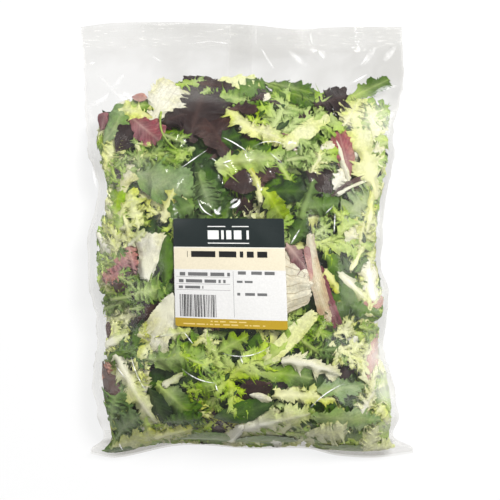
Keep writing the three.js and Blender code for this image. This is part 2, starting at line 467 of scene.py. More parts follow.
def painted_film_shading(x, y):
    """How light the clear film's tint is, from 0 to 1, as painted light and shade: it pales to the left and
    right, along the top seal, at its lower corners and by the bottom fold, and is lighter or darker by the
    slopes of its folds.
    """
    step = 1.5
    # Painted facet shading: the tint is lighter or darker by the slope of the film's folds.
    slope = (film_top(x + step, y) - film_top(x - step, y)
             - film_top(x, y + step) + film_top(x, y - step)) / step
    # Painted light at the sides, along the top seal, at the lower corners and by the bottom fold; the clouds
    # are random.
    side = 0.7 * ease(-60, -125, x) * ease(60, 150, y) + 0.9 * ease(0.8, 1, across(x, y)) * ease(150, 110, y)
    clouds = 0.22 * noise(x, y, 34, 51) + 0.12 * noise(x + 0.6 * y, y, 14, 52)
    ends = mix(0.12, 0.5, ease(60, 130, x)) * ease(Y_TOP - SEAL - 5, Y_TOP - SEAL + 5, y)
    corners = ease(0.74, 0.94, np.abs(across(x, y))) * ease(-110, -165, y)
    fold = 0.5 * ease(-180, -187, y)
    return np.clip(0.12 + side + clouds + ends + corners + fold + 0.35 * slope, 0, 1)


# Where the film is misted, as [column, row, radius, strength], in the photograph's pixels
MISTED = [
    [374, 118, 36, 0.5], [352, 120, 16, 0.3], [188, 96, 20, 0.08], [385, 290, 20, 0.4], [384, 358, 30, 0.8],
    [390, 428, 30, 1.2], [385, 225, 20, 0.4], [388, 392, 24, 0.9],
]


def film_fog(x, y):
    """How hazy the film is, where 1 is usual: clearer above the bottom fold, and misted in a few spots."""
    fog = mix(0.2, 1, ease(-172, -120, y)) + 0.6 * ease(-181, -188, y) + 0 * x
    for column, row, radius, strength in MISTED:
        spot = on_front(column, row)
        distance = np.hypot(x - spot[0], y - spot[1]) / (radius * PIXEL)
        fog = fog + strength * (1 - ease(0.1, 1, distance)) * (1 + 0.4 * noise(x, y, 9, 61))
    return fog


def film_material(name, haze_low, haze_high, roughness=0.1, most_gloss=0.11, edge_haze=0.12,
                  deepest=(0.878, 0.874, 0.862), lightest=(0.982, 0.98, 0.976)):
    """Thin clear film: mostly see-through, hazy where it turns away, and shiny. Its tint carries painted
    light and shade, and its weld's ribs carry painted shade and painted highlights.
    """
    material, tree = new_material(name)
    patches = grain(tree, 22, 3)
    haze = smooth_step(tree, patches, 0.35, 0.7, haze_low, haze_high)
    facing = node(tree, "ShaderNodeLayerWeight", {"Blend": 0.5}).outputs["Facing"]
    turned_away = times(tree, calc(tree, "POWER", facing, 3.0), edge_haze)
    weld = attribute(tree, "weld")
    fog = attribute(tree, "fog")
    haze = times(tree, plus(tree, haze, turned_away), fog)
    mist = times(tree, calc(tree, "MAXIMUM", minus(tree, fog, 1.0), 0.0), 0.3)
    haze = plus(tree, haze, mist)
    # The weld's ribs get painted shade, a slightly darker tint, and painted highlights, short white dashes
    # of milky haze on their crests.
    dashes = smooth_step(tree, grain(tree, 1, 2, 0.5, (130, 700, 130)), 0.6, 0.68)
    haze = plus(tree, haze, times(tree, times(tree, weld, dashes), 0.16))
    # The tint runs between deepest and lightest by the painted light and shade in the 'shade' attribute.
    tint = blend(tree, attribute(tree, "shade"), deepest, lightest)
    rib_painted_shade = times(tree, weld, smooth_step(tree, grain(tree, 25, 2), 0.35, 0.65, 0.2, 1.0))
    clear = node(tree, "ShaderNodeBsdfTransparent", {
        "Color": blend(tree, rib_painted_shade, tint, blend(tree, 1.0, tint, (0.985, 0.985, 0.98), "MULTIPLY")),
    })
    milky = node(tree, "ShaderNodeBsdfDiffuse", {"Color": (0.93, 0.92, 0.87, 1)})
    body = mixed(tree, haze, clear.outputs[0], milky.outputs[0])
    bump = bumped(tree, 0.25, 0.001, grain(tree, 130, 3))
    fresnel = node(tree, "ShaderNodeFresnel", {"IOR": 1.5, "Normal": bump}).outputs[0]
    mirror = calc(tree, "MINIMUM", fresnel, times(tree, calc(tree, "MINIMUM", fog, 1.0), most_gloss))
    warm = (1, 0.985, 0.94, 1)
    sharp = node(tree, "ShaderNodeBsdfGlossy", {"Color": warm, "Roughness": roughness, "Normal": bump})
    soft = node(tree, "ShaderNodeBsdfGlossy", {"Color": warm, "Roughness": 0.5, "Normal": bump})
    gloss = mixed(tree, 0.55, sharp.outputs[0], soft.outputs[0])
    finish_tree(tree, mixed(tree, mirror, body, gloss))
    return material


# The film of the bag

SIDE_COLUMNS = 66
BEND_ROWS = 16
BODY_ROWS = 166
SEAL_STEP = 0.625


def columns(y):
    """The x of each column of each row, in even steps from side to side."""
    shares = np.linspace(0, 1, 2 * SIDE_COLUMNS + 1)[None, :]
    y = np.asarray(y, float)[:, None]
    return mix(left_side(y), right_side(y), shares)


def body_rows(y, thicker=0):
    """Front and back points of the rows at y, with the ribs of a seal added to both."""
    x = columns(y)
    rows = np.broadcast_to(y[:, None], x.shape)
    place = rows + stray(x, rows)
    x = x + side_creases(x, rows)
    thicker = np.broadcast_to(np.reshape(thicker, (-1, 1)), x.shape)
    front = np.stack([x, place, film_top(x, rows) + thicker], -1)
    back = np.stack([x, place, back_height(x, rows) - thicker], -1)
    return front, back


def flap_rows(path, thicker=0):
    """Rows of the bottom seal, a distance along its path: round the fold, then flat under the bag."""
    turn = np.minimum(path / FOLD_RADIUS, math.pi)[:, None]
    inward = np.maximum(path - math.pi * FOLD_RADIUS, 0)
    x = columns(Y_BOTTOM + inward)
    room = FOLD_ROOM * (1 - ease(0.55 * math.pi, 0.95 * math.pi, path / FOLD_RADIUS))
    half = FILM / 2 + np.reshape(thicker + room, (-1, 1))
    start = Y_BOTTOM + stray(x, np.full_like(x, Y_BOTTOM)) + inward[:, None]
    sheets = []
    for sign in (1, -1):
        outward = FOLD_RADIUS + sign * half
        z = FOLD_TOP - FOLD_RADIUS + outward * np.cos(turn)
        sheets.append(np.stack([x, start - outward * np.sin(turn), np.broadcast_to(z, x.shape)], -1))
    return sheets


def ribs(distance):
    """The welded ribs, as a height for each distance along a seal."""
    return RIB_HEIGHT * (0.5 - 0.5 * np.cos(2 * math.pi * distance / RIB_PITCH))


def make_film():
    turn_length = math.pi * FOLD_RADIUS
    flat = np.arange(SEAL, 0, -SEAL_STEP)
    flap = flap_rows(turn_length + flat, ribs(flat) * ease(0, 3, flat))
    bend = flap_rows(np.linspace(turn_length, 0, BEND_ROWS)[:-1])
    body = body_rows(np.linspace(Y_BOTTOM, Y_TOP - SEAL, BODY_ROWS + 1)[:-1])
    weld = np.arange(0, SEAL + 0.01, SEAL_STEP)
    seal = body_rows(Y_TOP - SEAL + weld, ribs(weld) * ease(SEAL, SEAL - 2, weld))
    front = np.concatenate([flap[0], bend[0], body[0], seal[0]])
    back = np.concatenate([flap[1], bend[1], body[1], seal[1]])
    points, quads = closed_sheets(front, back)
    plain_rows = len(bend[0]) + len(body[0])
    weld_rows = np.concatenate([ribs(flat), np.zeros(plain_rows), ribs(weld)]) / RIB_HEIGHT
    weld_rows[-len(weld):] = 0.4 + 0.6 * weld_rows[-len(weld):]
    weld_values = np.tile(np.repeat(weld_rows, front.shape[1]), 2)
    # The film's painted light and shade, which sets its tint.
    shade = painted_film_shading(front[..., 0], np.clip(front[..., 1], Y_BOTTOM, Y_TOP)).ravel()
    fog = film_fog(front[..., 0], front[..., 1]).ravel()
    film = add_mesh("film", points, quads, film_material("clear_film", 0.0, 0.008),
                    {"weld": weld_values, "shade": np.tile(shade, 2), "fog": np.tile(fog, 2)})
    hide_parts("bag")
    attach(film, "root")


# The seam's upper and lower faces lie this far under the back
SEAM_TOP, SEAM_LOW = 0.08, 0.5


def make_back_seam():
    """The lapped seam down the back, folded flat against it."""
    y = np.linspace(Y_BOTTOM + 6, Y_TOP, 150)[:, None]
    x = np.linspace(SEAM_LEFT, SEAM_LEFT + SEAM_WIDTH, 9)[None, :] + 0 * y
    y = y + 0 * x
    place = y + stray(x, y)
    under = back_height(x, y)
    top = np.stack([x, place, under - SEAM_TOP], -1)
    low = np.stack([x, place, under - SEAM_LOW], -1)
    points, quads = closed_sheets(top, low)
    seam_film = film_material("seam_film", 0.004, 0.01, most_gloss=0.02, edge_haze=0.1,
                              deepest=(0.985, 0.985, 0.985))
    seam = add_mesh("back_seam", points, quads, seam_film, {"fog": np.ones(len(points))})
    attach(seam, "root")


# Where the film is creased, and whitened along the crease partly by real stress whitening and partly as a
# painted highlight, as [from column, from row, to column, to row, bow, width, whiteness]. The columns and
# rows are the photograph's pixels. The bow is in pixels too, and the width in millimetres.
CREASES = [
    [222, 137, 249, 153, -1, 1.3, 1.0], [207, 150, 181, 168, 0, 1.2, 0.9], [198, 199, 213, 216, 3, 1.4, 1.0],
    [252, 148, 289, 147, -6, 0.9, 0.7], [269, 152, 284, 165, 0, 0.8, 0.6], [223, 163, 232, 160, 0, 1.5, 0.9],
    [224, 164, 231, 169, 0, 1.1, 0.8], [211, 158, 216, 161, 0, 1.2, 0.8], [214, 209, 221, 214, 1, 3.6, 1.0],
    [217, 214, 221, 206, 0, 3.0, 1.0], [229, 208, 241, 201, 1, 3.4, 1.0], [230, 204, 238, 199, -1, 2.6, 1.0],
    [237, 206, 240, 199, 0, 2.4, 1.0], [290, 245, 300, 229, 0, 1.6, 0.9], [335, 213, 334, 233, 0, 1.2, 0.8],
    [325, 214, 334, 205, 0, 1.0, 0.6], [257, 183, 260, 190, 0, 1.2, 0.7], [261, 48, 274, 69, 0, 2.4, 0.35],
    [288, 50, 308, 67, 0, 6.0, 0.16], [318, 50, 325, 60, 0, 2.2, 0.25], [350, 84, 368, 74, 0, 2.0, 0.6],
    [360, 66, 368, 56, 0, 2.0, 0.25], [372, 95, 397, 86, -2, 5.0, 0.2], [385, 120, 396, 112, 0, 5.0, 0.12],
    [131, 356, 147, 392, 2, 1.3, 0.9], [116, 366, 125, 378, 0, 1.2, 0.7], [181, 368, 216, 383, 3, 1.2, 0.85],
    [216, 383, 219, 392, 1, 1.1, 0.8], [222, 353, 271, 346, 6, 1.1, 0.7], [184, 332, 193, 344, 0, 1.3, 0.8],
    [310, 408, 346, 383, -3, 1.3, 0.7], [240, 356, 243, 364, 0, 1.6, 0.6], [119, 436, 123, 443, 0, 1.4, 0.8],
    [88, 106, 110, 92, 3, 6.0, 0.2], [112, 88, 124, 74, 1, 5.0, 0.2], [93, 150, 97, 190, 2, 3.0, 0.25],
    [381, 200, 379, 240, 2, 3.0, 0.25], [388, 290, 384, 330, -2, 4.0, 0.25],
    [99, 212, 91, 236, 1, 2.0, 0.35], [362, 66, 376, 47, 0, 6.0, 0.2], [318, 50, 326, 58, 0, 6.0, 0.1],
    [383, 62, 396, 46, 0, 7.0, 0.16], [152, 56, 162, 62, 0, 1.6, 0.16], [98, 74, 122, 100, 0, 4.0, 0.12],
    [256, 27, 256, 46, 0, 1.0, 0.4], [230, 25, 230, 46, 0, 0.8, 0.25], [311, 30, 313, 45, 1, 2.0, 0.2],
    [145, 29, 205, 27, 0, 0.7, 0.3], [205, 41, 236, 45, 0, 0.8, 0.5], [188, 44, 212, 42, 0, 0.7, 0.35],
]
CREASE_RISE = 0.5
# A crease's upper and lower faces lie this far over the film
CREASE_TOP, CREASE_LOW = 0.35, 0.25


def crease_material():
    """Film whitened along a crease, partly real stress whitening and partly a painted highlight, fading into
    clear film at its rim.
    """
    material, tree = new_material("crease_whitening_and_highlight")
    whitening_and_highlight = attribute(tree, "whitening_and_highlight")
    streaks = smooth_step(tree, grain(tree, 190, 3), 0.4, 0.55, 0.25, 1.0)
    clear = node(tree, "ShaderNodeBsdfTransparent", {"Color": (1, 1, 1, 1)})
    # The whitened film: partly real stress whitening, partly a painted highlight.
    pale = node(tree, "ShaderNodeBsdfPrincipled", {
        "Base Color": (0.88, 0.88, 0.87, 1), "Roughness": 0.2, "Specular IOR Level": 0.5,
    })
    share = times(tree, whitening_and_highlight, streaks)
    finish_tree(tree, mixed(tree, share, clear.outputs[0], pale.outputs[0]))
    return material


def make_creases():
    bodies, whites = [], []
    t = np.linspace(0, 1, 19)[:, None]
    s = np.linspace(-1, 1, 5)[None, :]
    taper = np.sin(math.pi * (0.02 + 0.96 * t)) ** 0.6
    for column, row, to_column, to_row, bow, width, whitening_and_highlight in CREASES:
        first, last = np.array(on_front(column, row)), np.array(on_front(to_column, to_row))
        run = last - first
        across_run = np.array([-run[1], run[0]]) / np.hypot(*run)
        swerve = -bow * PIXEL * 4 * t * (1 - t) + 0.5 * width * taper * s
        x = first[0] + run[0] * t + across_run[0] * swerve
        y = first[1] + run[1] * t + across_run[1] * swerve
        height = film_top(x, y)
        ridge = CREASE_RISE * (1 - s * s) * taper
        top = np.stack([x, y + stray(x, y), height + CREASE_TOP + ridge], -1)
        low = np.stack([x, y + stray(x, y), height + CREASE_LOW + 0 * ridge], -1)
        bodies.append(closed_sheets(top, low))
        # The whitening and painted highlight fade towards the crease's rim and ends.
        fade = (whitening_and_highlight * (1 - 0.9 * s * s) * taper ** 1.5).ravel()
        whites += [fade, fade]
    creases = add_mesh("film_creases", *joined(bodies), crease_material(), {"whitening_and_highlight": np.concatenate(whites)})
    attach(creases, "root")


DROPLETS = 170


def make_droplets():
    """Fine drops of water that cling to the film over the leaves."""
    rng = np.random.default_rng(14)
    around = np.linspace(0, 2 * math.pi, 9)[None, :]
    up = np.linspace(0.02, 0.5 * math.pi, 5)[:, None]
    drops = []
    for _ in range(DROPLETS):
        y = rng.uniform(-172, 118)
        x = mix(float(left_side(y)), float(right_side(y)), rng.uniform(0.08, 0.92))
        radius = rng.uniform(0.25, 0.65)
        if under_label(x, y) > 0.1:
            continue
        dx = radius * np.sin(up) * np.cos(around)
        dy = radius * np.sin(up) * np.sin(around) * rng.uniform(0.8, 1.3)
        height = film_top(x + dx, y + dy)
        top = np.stack([x + dx, y + dy, height + 0.1 + 0.55 * radius * np.cos(up) + 0 * dx], -1)
        low = np.stack([x + dx, y + dy, height + 0.05], -1)
        drops.append(closed_sheets(top[:, ::-1], low[:, ::-1]))
    material, tree = new_material("water")
    wavy = bumped(tree, 0.1, 0.0002, grain(tree, 900))
    clear = node(tree, "ShaderNodeBsdfTransparent", {"Color": (0.97, 0.97, 0.97, 1)})
    gloss = node(tree, "ShaderNodeBsdfGlossy", {"Roughness": 0.12, "Normal": wavy})
    fresnel = node(tree, "ShaderNodeFresnel", {"IOR": 1.33}).outputs[0]
    share = plus(tree, times(tree, fresnel, 0.8), 0.06)
    finish_tree(tree, mixed(tree, share, clear.outputs[0], gloss.outputs[0]))
    droplets = add_mesh("droplets", *joined(drops), material)
    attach(droplets, "root")


# Leaves

def spine(length, bend, arch, rows, rng):
    """A leaf's middle line in its own frame, where it grows along +Y, and how far it has turned.

    Its rows are unevenly spaced, as a leaf's teeth are.
    """
    steps = rng.uniform(0.5, 1.5, rows - 1)
    u = np.concatenate([[0], np.cumsum(steps)]) / steps.sum()
    turn = math.radians(bend) * (u - 0.5)
    step = length * np.gradient(u)
    x = np.cumsum(np.sin(turn) * step)
    y = np.cumsum(np.cos(turn) * step)
    z = arch * np.sin(math.pi * u)
    return u, np.stack([x - x.mean(), y - y.mean(), z], 1), turn


def blade(u, line, turn, left, right, cells, rng, tooth=1.0, slant=0.3, ruffle=0.0, waves=4.0, cup=0.0,
          lift=1.0):
    """A grid of points over a blade, from its half-widths either side of the line.

    Its rim waves up and down, with a tooth at every other row, longer in some stretches than in others.
    """
    v = np.linspace(-1, 1, cells)[None, :]
    stretch = 1 + 0.5 * np.sin(rng.uniform(8, 16) * u + rng.uniform(0, 6.28, (2, 1)))
    spikes = tooth * stretch * rng.uniform(0.1, 1.3, (2, len(u)))
    spikes[0, ::2] *= 0.1
    spikes[1, 1::2] *= 0.1
    rim = (np.abs(v) == 1) * np.where(v < 0, spikes[0][:, None], spikes[1][:, None])
    reach = v * np.where(v < 0, left[:, None], right[:, None]) + np.sign(v) * rim
    side = np.stack([np.cos(turn), -np.sin(turn), 0 * turn], 1)[:, None, :]
    ahead = np.stack([np.sin(turn), np.cos(turn), 0 * turn], 1)[:, None, :]
    start = rng.uniform(0, 6.28, 4)
    uneven = u[:, None] + 0.05 * np.sin(8 * u[:, None] + start[2])
    uneven = uneven + 0.03 * np.sin(17 * u[:, None] + start[3])
    swing = 2 * math.pi * waves * uneven + np.where(v < 0, start[0], start[1])
    edge = np.abs(v) ** 1.5
    forward = slant * np.abs(reach) + 0.4 * rim + 0.6 * ruffle * edge * np.cos(swing)
    grid = line[:, None, :] + side * reach[..., None] + ahead * forward[..., None]
    grid[..., 2] += ruffle * edge * np.sin(swing) + 0.5 * rim * np.sin(swing + 1)
    widest = max(left.max(), right.max())
    tilt = lift * min(0.7 * widest, 3.5) * rng.uniform(-1, 1, 2)
    grid[..., 2] += v * (tilt[0] + 2 * tilt[1] * (u[:, None] - 0.5))
    grid[..., 2] += v * v * (cup + rng.uniform(-1, 0.4)) * min(0.5 * widest, 4)
    return grid, np.abs(reach), v + 0 * reach


# The shares of a leaf's thickness that lie over and under its middle
OVER, UNDER = 0.4, 0.6


class Heap:
    """Leaves of one colour, gathered for one mesh."""

    def __init__(self):
        self.points, self.quads, self.leaf, self.pale = [], [], [], []
        self.count = 0

    def add(self, grid, thickness, along, sideways, tone, pale):
        """A closed thin solid on a grid of middle points. Its two faces meet at its rim."""
        rows, cells = grid.shape[:2]
        normal = np.cross(np.gradient(grid, axis=1), np.gradient(grid, axis=0))
        normal /= np.linalg.norm(normal, axis=2, keepdims=True) + 1e-9
        inner = np.zeros((rows, cells))
        inner[1:-1, 1:-1] = 1
        thick = (thickness * inner)[..., None] * normal
        face = grid + OVER * thick
        rear = (grid - UNDER * thick)[1:-1, 1:-1].reshape(-1, 3)
        i = np.arange(rows * cells).reshape(rows, cells)
        j = i.copy()
        j[1:-1, 1:-1] = rows * cells + np.arange(len(rear)).reshape(rows - 2, cells - 2)
        for a in ((i[:-1, :-1], i[:-1, 1:], i[1:, 1:], i[1:, :-1]),
                  (j[:-1, :-1], j[1:, :-1], j[1:, 1:], j[:-1, 1:])):
            self.quads.append(np.stack(a, -1).reshape(-1, 4) + self.count)
        leaf = np.stack([along + 0 * sideways, sideways, np.full_like(sideways, tone)], -1)
        pale = np.clip(pale, 0, 1)
        self.points += [face.reshape(-1, 3), rear]
        self.leaf += [leaf.reshape(-1, 3), leaf[1:-1, 1:-1].reshape(-1, 3)]
        self.pale += [pale.ravel(), pale[1:-1, 1:-1].ravel()]
        self.count += rows * cells + len(rear)

    def make(self, name, material, slot):
        values = {"leaf": np.concatenate(self.leaf), "pale": np.concatenate(self.pale)}
        thing = add_mesh(name, np.concatenate(self.points), np.concatenate(self.quads), material, values,
                         sharp_rims=True)
        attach(thing, "root")


def soft_limit(value, start, end):
    """Values past start are squeezed in before end."""
    over = np.maximum(value - start, 0)
    return np.minimum(value, start) + (end - start) * np.tanh(over / (end - start))


# Where across the bag leaves are squeezed in, and the place that none of them passes
LEFT_LIMIT, RIGHT_LIMIT = (0.86, 0.95), (0.9, 0.98)
HEAP_END = (140, 152)  # the same towards the top seal, in y
DEEP_ENOUGH = 34  # leaves lie at their full depth where the films are this far apart
CLEARANCE = 0.6  # between a leaf's middle and the film
# How far down the leaves reach, at each x
HEAP_LOW = through([[-130, 183], [-80, 183], [-50, 189], [55, 190], [75, 183], [130, 180]])


def lay(grid, thickness, place, heading, under, top, front, reach_down):
    """A leaf's points in the bag, pressed against the inside of its film, and how thick it is there.

    They lie no deeper under it than reach_down, in millimetres.
    """
    turn = math.radians(heading - 90)
    x = place[0] + math.cos(turn) * grid[..., 0] - math.sin(turn) * grid[..., 1]
    y = place[1] + math.sin(turn) * grid[..., 0] + math.cos(turn) * grid[..., 1]
    lowest = HEAP_LOW(x)
    y = -soft_limit(-y, lowest - 6, lowest)
    y = soft_limit(y, *HEAP_END)
    round_fold = np.maximum(Y_BOTTOM - y, 0) / FOLD_RADIUS
    y = np.maximum(y, Y_BOTTOM)
    a = across(x, y)
    inside = np.where(a < 0, -soft_limit(-a, *LEFT_LIMIT), soft_limit(a, *RIGHT_LIMIT))
    x = x_across(inside, y)
    ceiling, ground = film_top(x, y), back_height(x, y)
    room = np.clip((ceiling - ground) / DEEP_ENOUGH, 0.08, 1)
    deep = under + soft_limit(np.maximum(top - grid[..., 2], -under), 0.4 * reach_down, reach_down)
    z = ceiling - CLEARANCE - deep * room if front else ground + CLEARANCE + deep * room
    thickness = np.minimum(thickness, 0.55 * (ceiling - ground))
    low = np.minimum(ground + np.maximum(0.4, UNDER * thickness + 0.1), (ground + ceiling) / 2)
    z = np.clip(z, low, ceiling - np.maximum(0.5, OVER * thickness + 0.15))
    fall = FOLD_RADIUS * (1 - np.cos(round_fold))
    laid = np.stack([x, y + stray(x, y) - FOLD_RADIUS * np.sin(round_fold), z - fall], -1)
    return laid, thickness


def turned(points, angle):
    """Points turned clockwise about +Z by an angle in radians."""
    x, y = points[..., 0], points[..., 1]
    swung = points.copy()
    swung[..., 0] = x * math.cos(angle) + y * math.sin(angle)
    swung[..., 1] = y * math.cos(angle) - x * math.sin(angle)
    return swung


FRISEE_REACH = through([[0, 0.35], [0.25, 0.7], [0.6, 1], [0.85, 0.85], [1, 0.6]])


def frisee(length, width, bend, rng, lobes, fine):
    """A curly frisee leaf: a pale rib with jagged lobes that lean out, curl and twist.

    Some are left out, where rounding carries the last row's place past 1. That thins the heap.
    """
    rows = 4 * lobes + 5
    u, line, turn = spine(length, bend, 0.05 * length, rows, rng)
    if u[-1] > 1:
        return []
    half = width * (0.035 + 0.06 * np.sin(math.pi * u) ** 0.7) + 0.5
    grid, reach, v = blade(u, line, turn, half, half, 7 if fine else 5, rng, 0.08 * width, 0.4,
                           0.05 * width, lobes / 2)
    near_rib = np.exp(-((reach / (0.07 * width + 0.5)) ** 2))
    fade = 1.15 - 0.6 * u[:, None]
    parts = [(grid, 0.5 + 1.1 * near_rib * fade, u[:, None], v, 0.95 * near_rib * fade)]
    for k in range(lobes):
        for side in (-1, 1):
            at = np.clip((k + rng.uniform(0.1, 0.9)) / lobes, 0.03, 0.97)
            i = int(at * (rows - 1))
            size = 0.56 * width * float(FRISEE_REACH(at)) * rng.uniform(0.6, 1.3) + 2
            aim = turn[i] + side * math.radians(rng.uniform(15, 85))
            w, lobe, lobe_turn = spine(size, side * rng.uniform(-120, 70), 0, 13 if fine else 9, rng)
            lobe = turned(lobe - lobe[0], aim)
            lobe += line[i]
            lobe[:, 2] += rng.uniform(-0.2, 0.28) * size * np.sin(2.6 * w) + rng.uniform(-0.5, 0.5)
            body = size * rng.uniform(0.09, 0.17) * np.sin(math.pi * (0.12 + 0.84 * w)) ** 0.6
            grid, _, v = blade(w, lobe, lobe_turn + aim, body, body, 5 if fine else 3, rng,
                               0.16 * size + 0.7, 0.6, 0.17 * size, 2.3)
            fade = np.maximum(1 - w[:, None], 0) ** 1.3 * (1 - 0.6 * np.abs(v))
            parts.append((grid, 0.45 + 0 * v, w[:, None], v, 0.75 * fade))
    return parts


def curly(length, width, bend, rng, fine):
    """A tangle of small frisee lobes."""
    parts = []
    for k in range(5 if fine else 2):
        aim = math.radians(rng.uniform(-70, 70) + bend)
        shift = np.array([rng.uniform(-0.25, 0.25) * width, rng.uniform(-0.28, 0.28) * length, 0.4 * k])
        tuft = frisee(0.55 * length, 0.7 * width, rng.uniform(-70, 70), rng, 4, fine)
        if not tuft:
            return []
        for grid, *rest in tuft:
            parts.append((turned(grid, aim) + shift, *rest))
    return parts


def broad(length, width, bend, rng, fine, outline, teeth, tooth, ruffle, waves, rib, rib_pale, base=0.0,
          lobes=0, lobe_depth=0.0, cells=11, thick=0.4, cup=0.0, slant=0.2, bubble=1.1,
          grooves=0.0, ragged_ends=0.0, lopsided=0.0, lift=1.0):
    """A broad leaf with one rib. A tooth is a share of the teeth's spacing, and ruffle one of the width."""
    teeth = teeth if fine else max(teeth // 2, 4)
    cells = cells if fine else min(cells, 9)
    u, line, turn = spine(length, bend, 0.05 * length, 2 * teeth + 1, rng)
    halves = []
    for phase in rng.uniform(0, 6.28, 2):
        lobed = 1 - lobe_depth * (0.5 + 0.5 * np.cos(2 * math.pi * lobes * u + phase))
        uneven = 1 + 0.1 * np.sin(5 * u + 2 * phase) + 0.5 * lobe_depth * np.sin(6.1 * lobes * u + 3 * phase)
        share = 1 - lopsided * rng.uniform(0, 1)
        halves.append(0.5 * width * np.maximum(outline(u), 0.04) * np.maximum(lobed * uneven, 0.15) * share)
    grid, reach, v = blade(u, line, turn, *halves, cells, rng, tooth * length / teeth, slant,
                           ruffle * width, waves, cup, lift)
    rib_half = rib * (1.1 - 0.85 * u[:, None])
    near_rib = np.exp(-((reach / rib_half) ** 2))
    around_rib = np.exp(-((reach / (0.22 * width + rib)) ** 2)) * (1 - 0.6 * u[:, None])
    grid[..., 2] += 0.25 * rib_half * near_rib
    seed = int(rng.integers(1000))
    grid[..., 2] += bubble * noise(grid[..., 0] + 100, grid[..., 1], 8, seed)
    grid[..., 2] += 0.4 * bubble * noise(grid[..., 0] + 50, grid[..., 1], 4, seed + 1)
    grid[..., 2] += grooves * np.cos(11 * v)
    ragged = rng.uniform(-1, 1, (2, cells)) * ragged_ends
    grid[0, :, 1] += ragged[0]
    grid[-1, :, 1] += ragged[1]
    pale = rib_pale * (0.5 * near_rib + 0.5 * around_rib) + base * (1 - ease(0.15, 0.6, u[:, None]))
    return [(grid, thick + 0.7 * rib_half * near_rib, u[:, None], v, pale)]


ROUND = through([[0, 0.12], [0.15, 0.5], [0.45, 0.95], [0.7, 1], [0.9, 0.7], [1, 0.1]])
OVAL = through([[0, 0.1], [0.2, 0.65], [0.5, 1], [0.8, 0.7], [1, 0.08]])
LANCE = through([[0, 0.25], [0.25, 0.75], [0.5, 1], [0.8, 0.6], [1, 0.05]])
STRIP = through([[0, 0.6], [0.1, 0.9], [0.5, 1], [0.9, 0.9], [1, 0.35]])
WEDGE = through([[0, 0.35], [0.3, 0.6], [0.7, 1], [0.9, 0.95], [1, 0.6]])
BAND = through([[0, 0.3], [0.3, 0.6], [0.7, 0.8], [1, 1]])
CHUNK = through([[0, 0.75], [0.08, 0.95], [0.5, 1], [0.92, 0.9], [1, 0.7]])

# What the broad forms are like, as (outline, teeth, tooth, ruffle, waves, rib, rib_pale) and what else they
# set. The rib's half-width and the thickness are in millimetres.
BROAD_FORMS = {
    "leaf": ((ROUND, 18, 0.8, 0.12, 4.5, 1.2, 0.5), dict(base=0.35, lobes=3.3, lobe_depth=0.35)),
    "smooth": ((OVAL, 10, 0.2, 0.07, 2.2, 1.0, 0.25), dict(cells=9)),
    "broad": ((OVAL, 22, 0.6, 0.08, 3, 1.0, 0.25), dict(lobes=2.6, lobe_depth=0.2, bubble=1.4, lift=0.6)),
    "frilly": ((ROUND, 26, 1.1, 0.16, 6.5, 1.1, 0.4), dict(lobes=4, lobe_depth=0.4, cells=13)),
    "crumpled": ((ROUND, 30, 0.5, 0.05, 5, 0.9, 0.5),
                 dict(lobes=3.4, lobe_depth=0.16, cells=15, bubble=1.6, lift=0.25)),
    "fringed": ((ROUND, 13, 1.3, 0.07, 5, 1.4, 0.4),
                dict(base=0.4, lobes=2.4, lobe_depth=0.15, cells=13, bubble=0.9, lift=0.3)),
    "lance": ((LANCE, 15, 0.9, 0.1, 3.5, 1.0, 0.45), dict(lobes=3.5, lobe_depth=0.4, cells=9)),
    "strip": ((STRIP, 20, 1.4, 0.13, 4.3, 2.8, 0.75),
              dict(base=0.4, lobes=3.4, lobe_depth=0.5, thick=0.6, lopsided=0.4, ragged_ends=1.5)),
    "base": ((WEDGE, 16, 0.6, 0.05, 2.5, 5, 0.8),
             dict(base=0.9, lobes=2, lobe_depth=0.2, thick=0.9, grooves=0.35, ragged_ends=1.5, cells=15,
                  lift=0.5)),
    "ribbon": ((CHUNK, 12, 0.15, 0.03, 1.6, 1.5, 0.4),
               dict(lobes=1.4, lobe_depth=0.12, cells=9, thick=1.0, slant=0.05, bubble=0.5, ragged_ends=1.2,
                    lift=0.6)),
    "fan": ((WEDGE, 14, 0.12, 0.03, 2, 2, 0.15),
            dict(base=0.1, lobes=1.2, lobe_depth=0.08, cells=27, thick=0.9, slant=0.1, bubble=0.6,
                 grooves=0.7, ragged_ends=1.0, lift=0.3)),
    "band": ((BAND, 12, 0.12, 0.03, 1.6, 1.5, 0.4),
             dict(lobes=1.4, lobe_depth=0.06, cells=9, thick=0.8, slant=0.05, bubble=0.5, ragged_ends=1.2,
                  lift=0.5)),
    "chunk": ((CHUNK, 14, 0.3, 0.08, 2.4, 3.2, 0.6),
              dict(base=0.3, lobes=2, lobe_depth=0.3, thick=1.5, cup=-0.5, slant=0.05, bubble=0.6,
                   grooves=0.3, ragged_ends=2)),
    "stem": ((CHUNK, 14, 0, 0, 1, 1.6, 0.2), dict(cells=5, thick=1.6, slant=0, bubble=0)),
}

LACY = ("frisee", "curly", "star")
COLOURS = ("pale", "green", "fresh", "dark", "purple", "red", "cream", "beige", "sage", "lacy_green",
           "lacy_fresh")
HEAPS = {name: Heap() for name in COLOURS}


def leaf_parts(form, length, width, bend, rng, fine):
    if form == "frisee":
        return frisee(length, width, bend, rng, 7 if fine else 5, fine)
    if form == "star":
        return frisee(length, width, bend, rng, 4 if fine else 3, fine)
    if form == "curly":
        return curly(length, width, bend, rng, fine)
    shape, more = BROAD_FORMS[form]
    return broad(length, width, bend, rng, fine, *shape, **more)


# The percentage of a leaf's points that the film presses down, and how deep under it they reach at most
FREE_WHEN_SHOWN, FREE_WHEN_BURIED = 78, 97
SHOWN_REACH, BURIED_REACH = 5, 12


HEAP_START = -187
# How far up the leaves reach, at each x
HEAP_TOP = through([[-130, 112], [-105, 124], [-72, 144], [10, 144], [50, 133], [92, 130], [130, 118]])


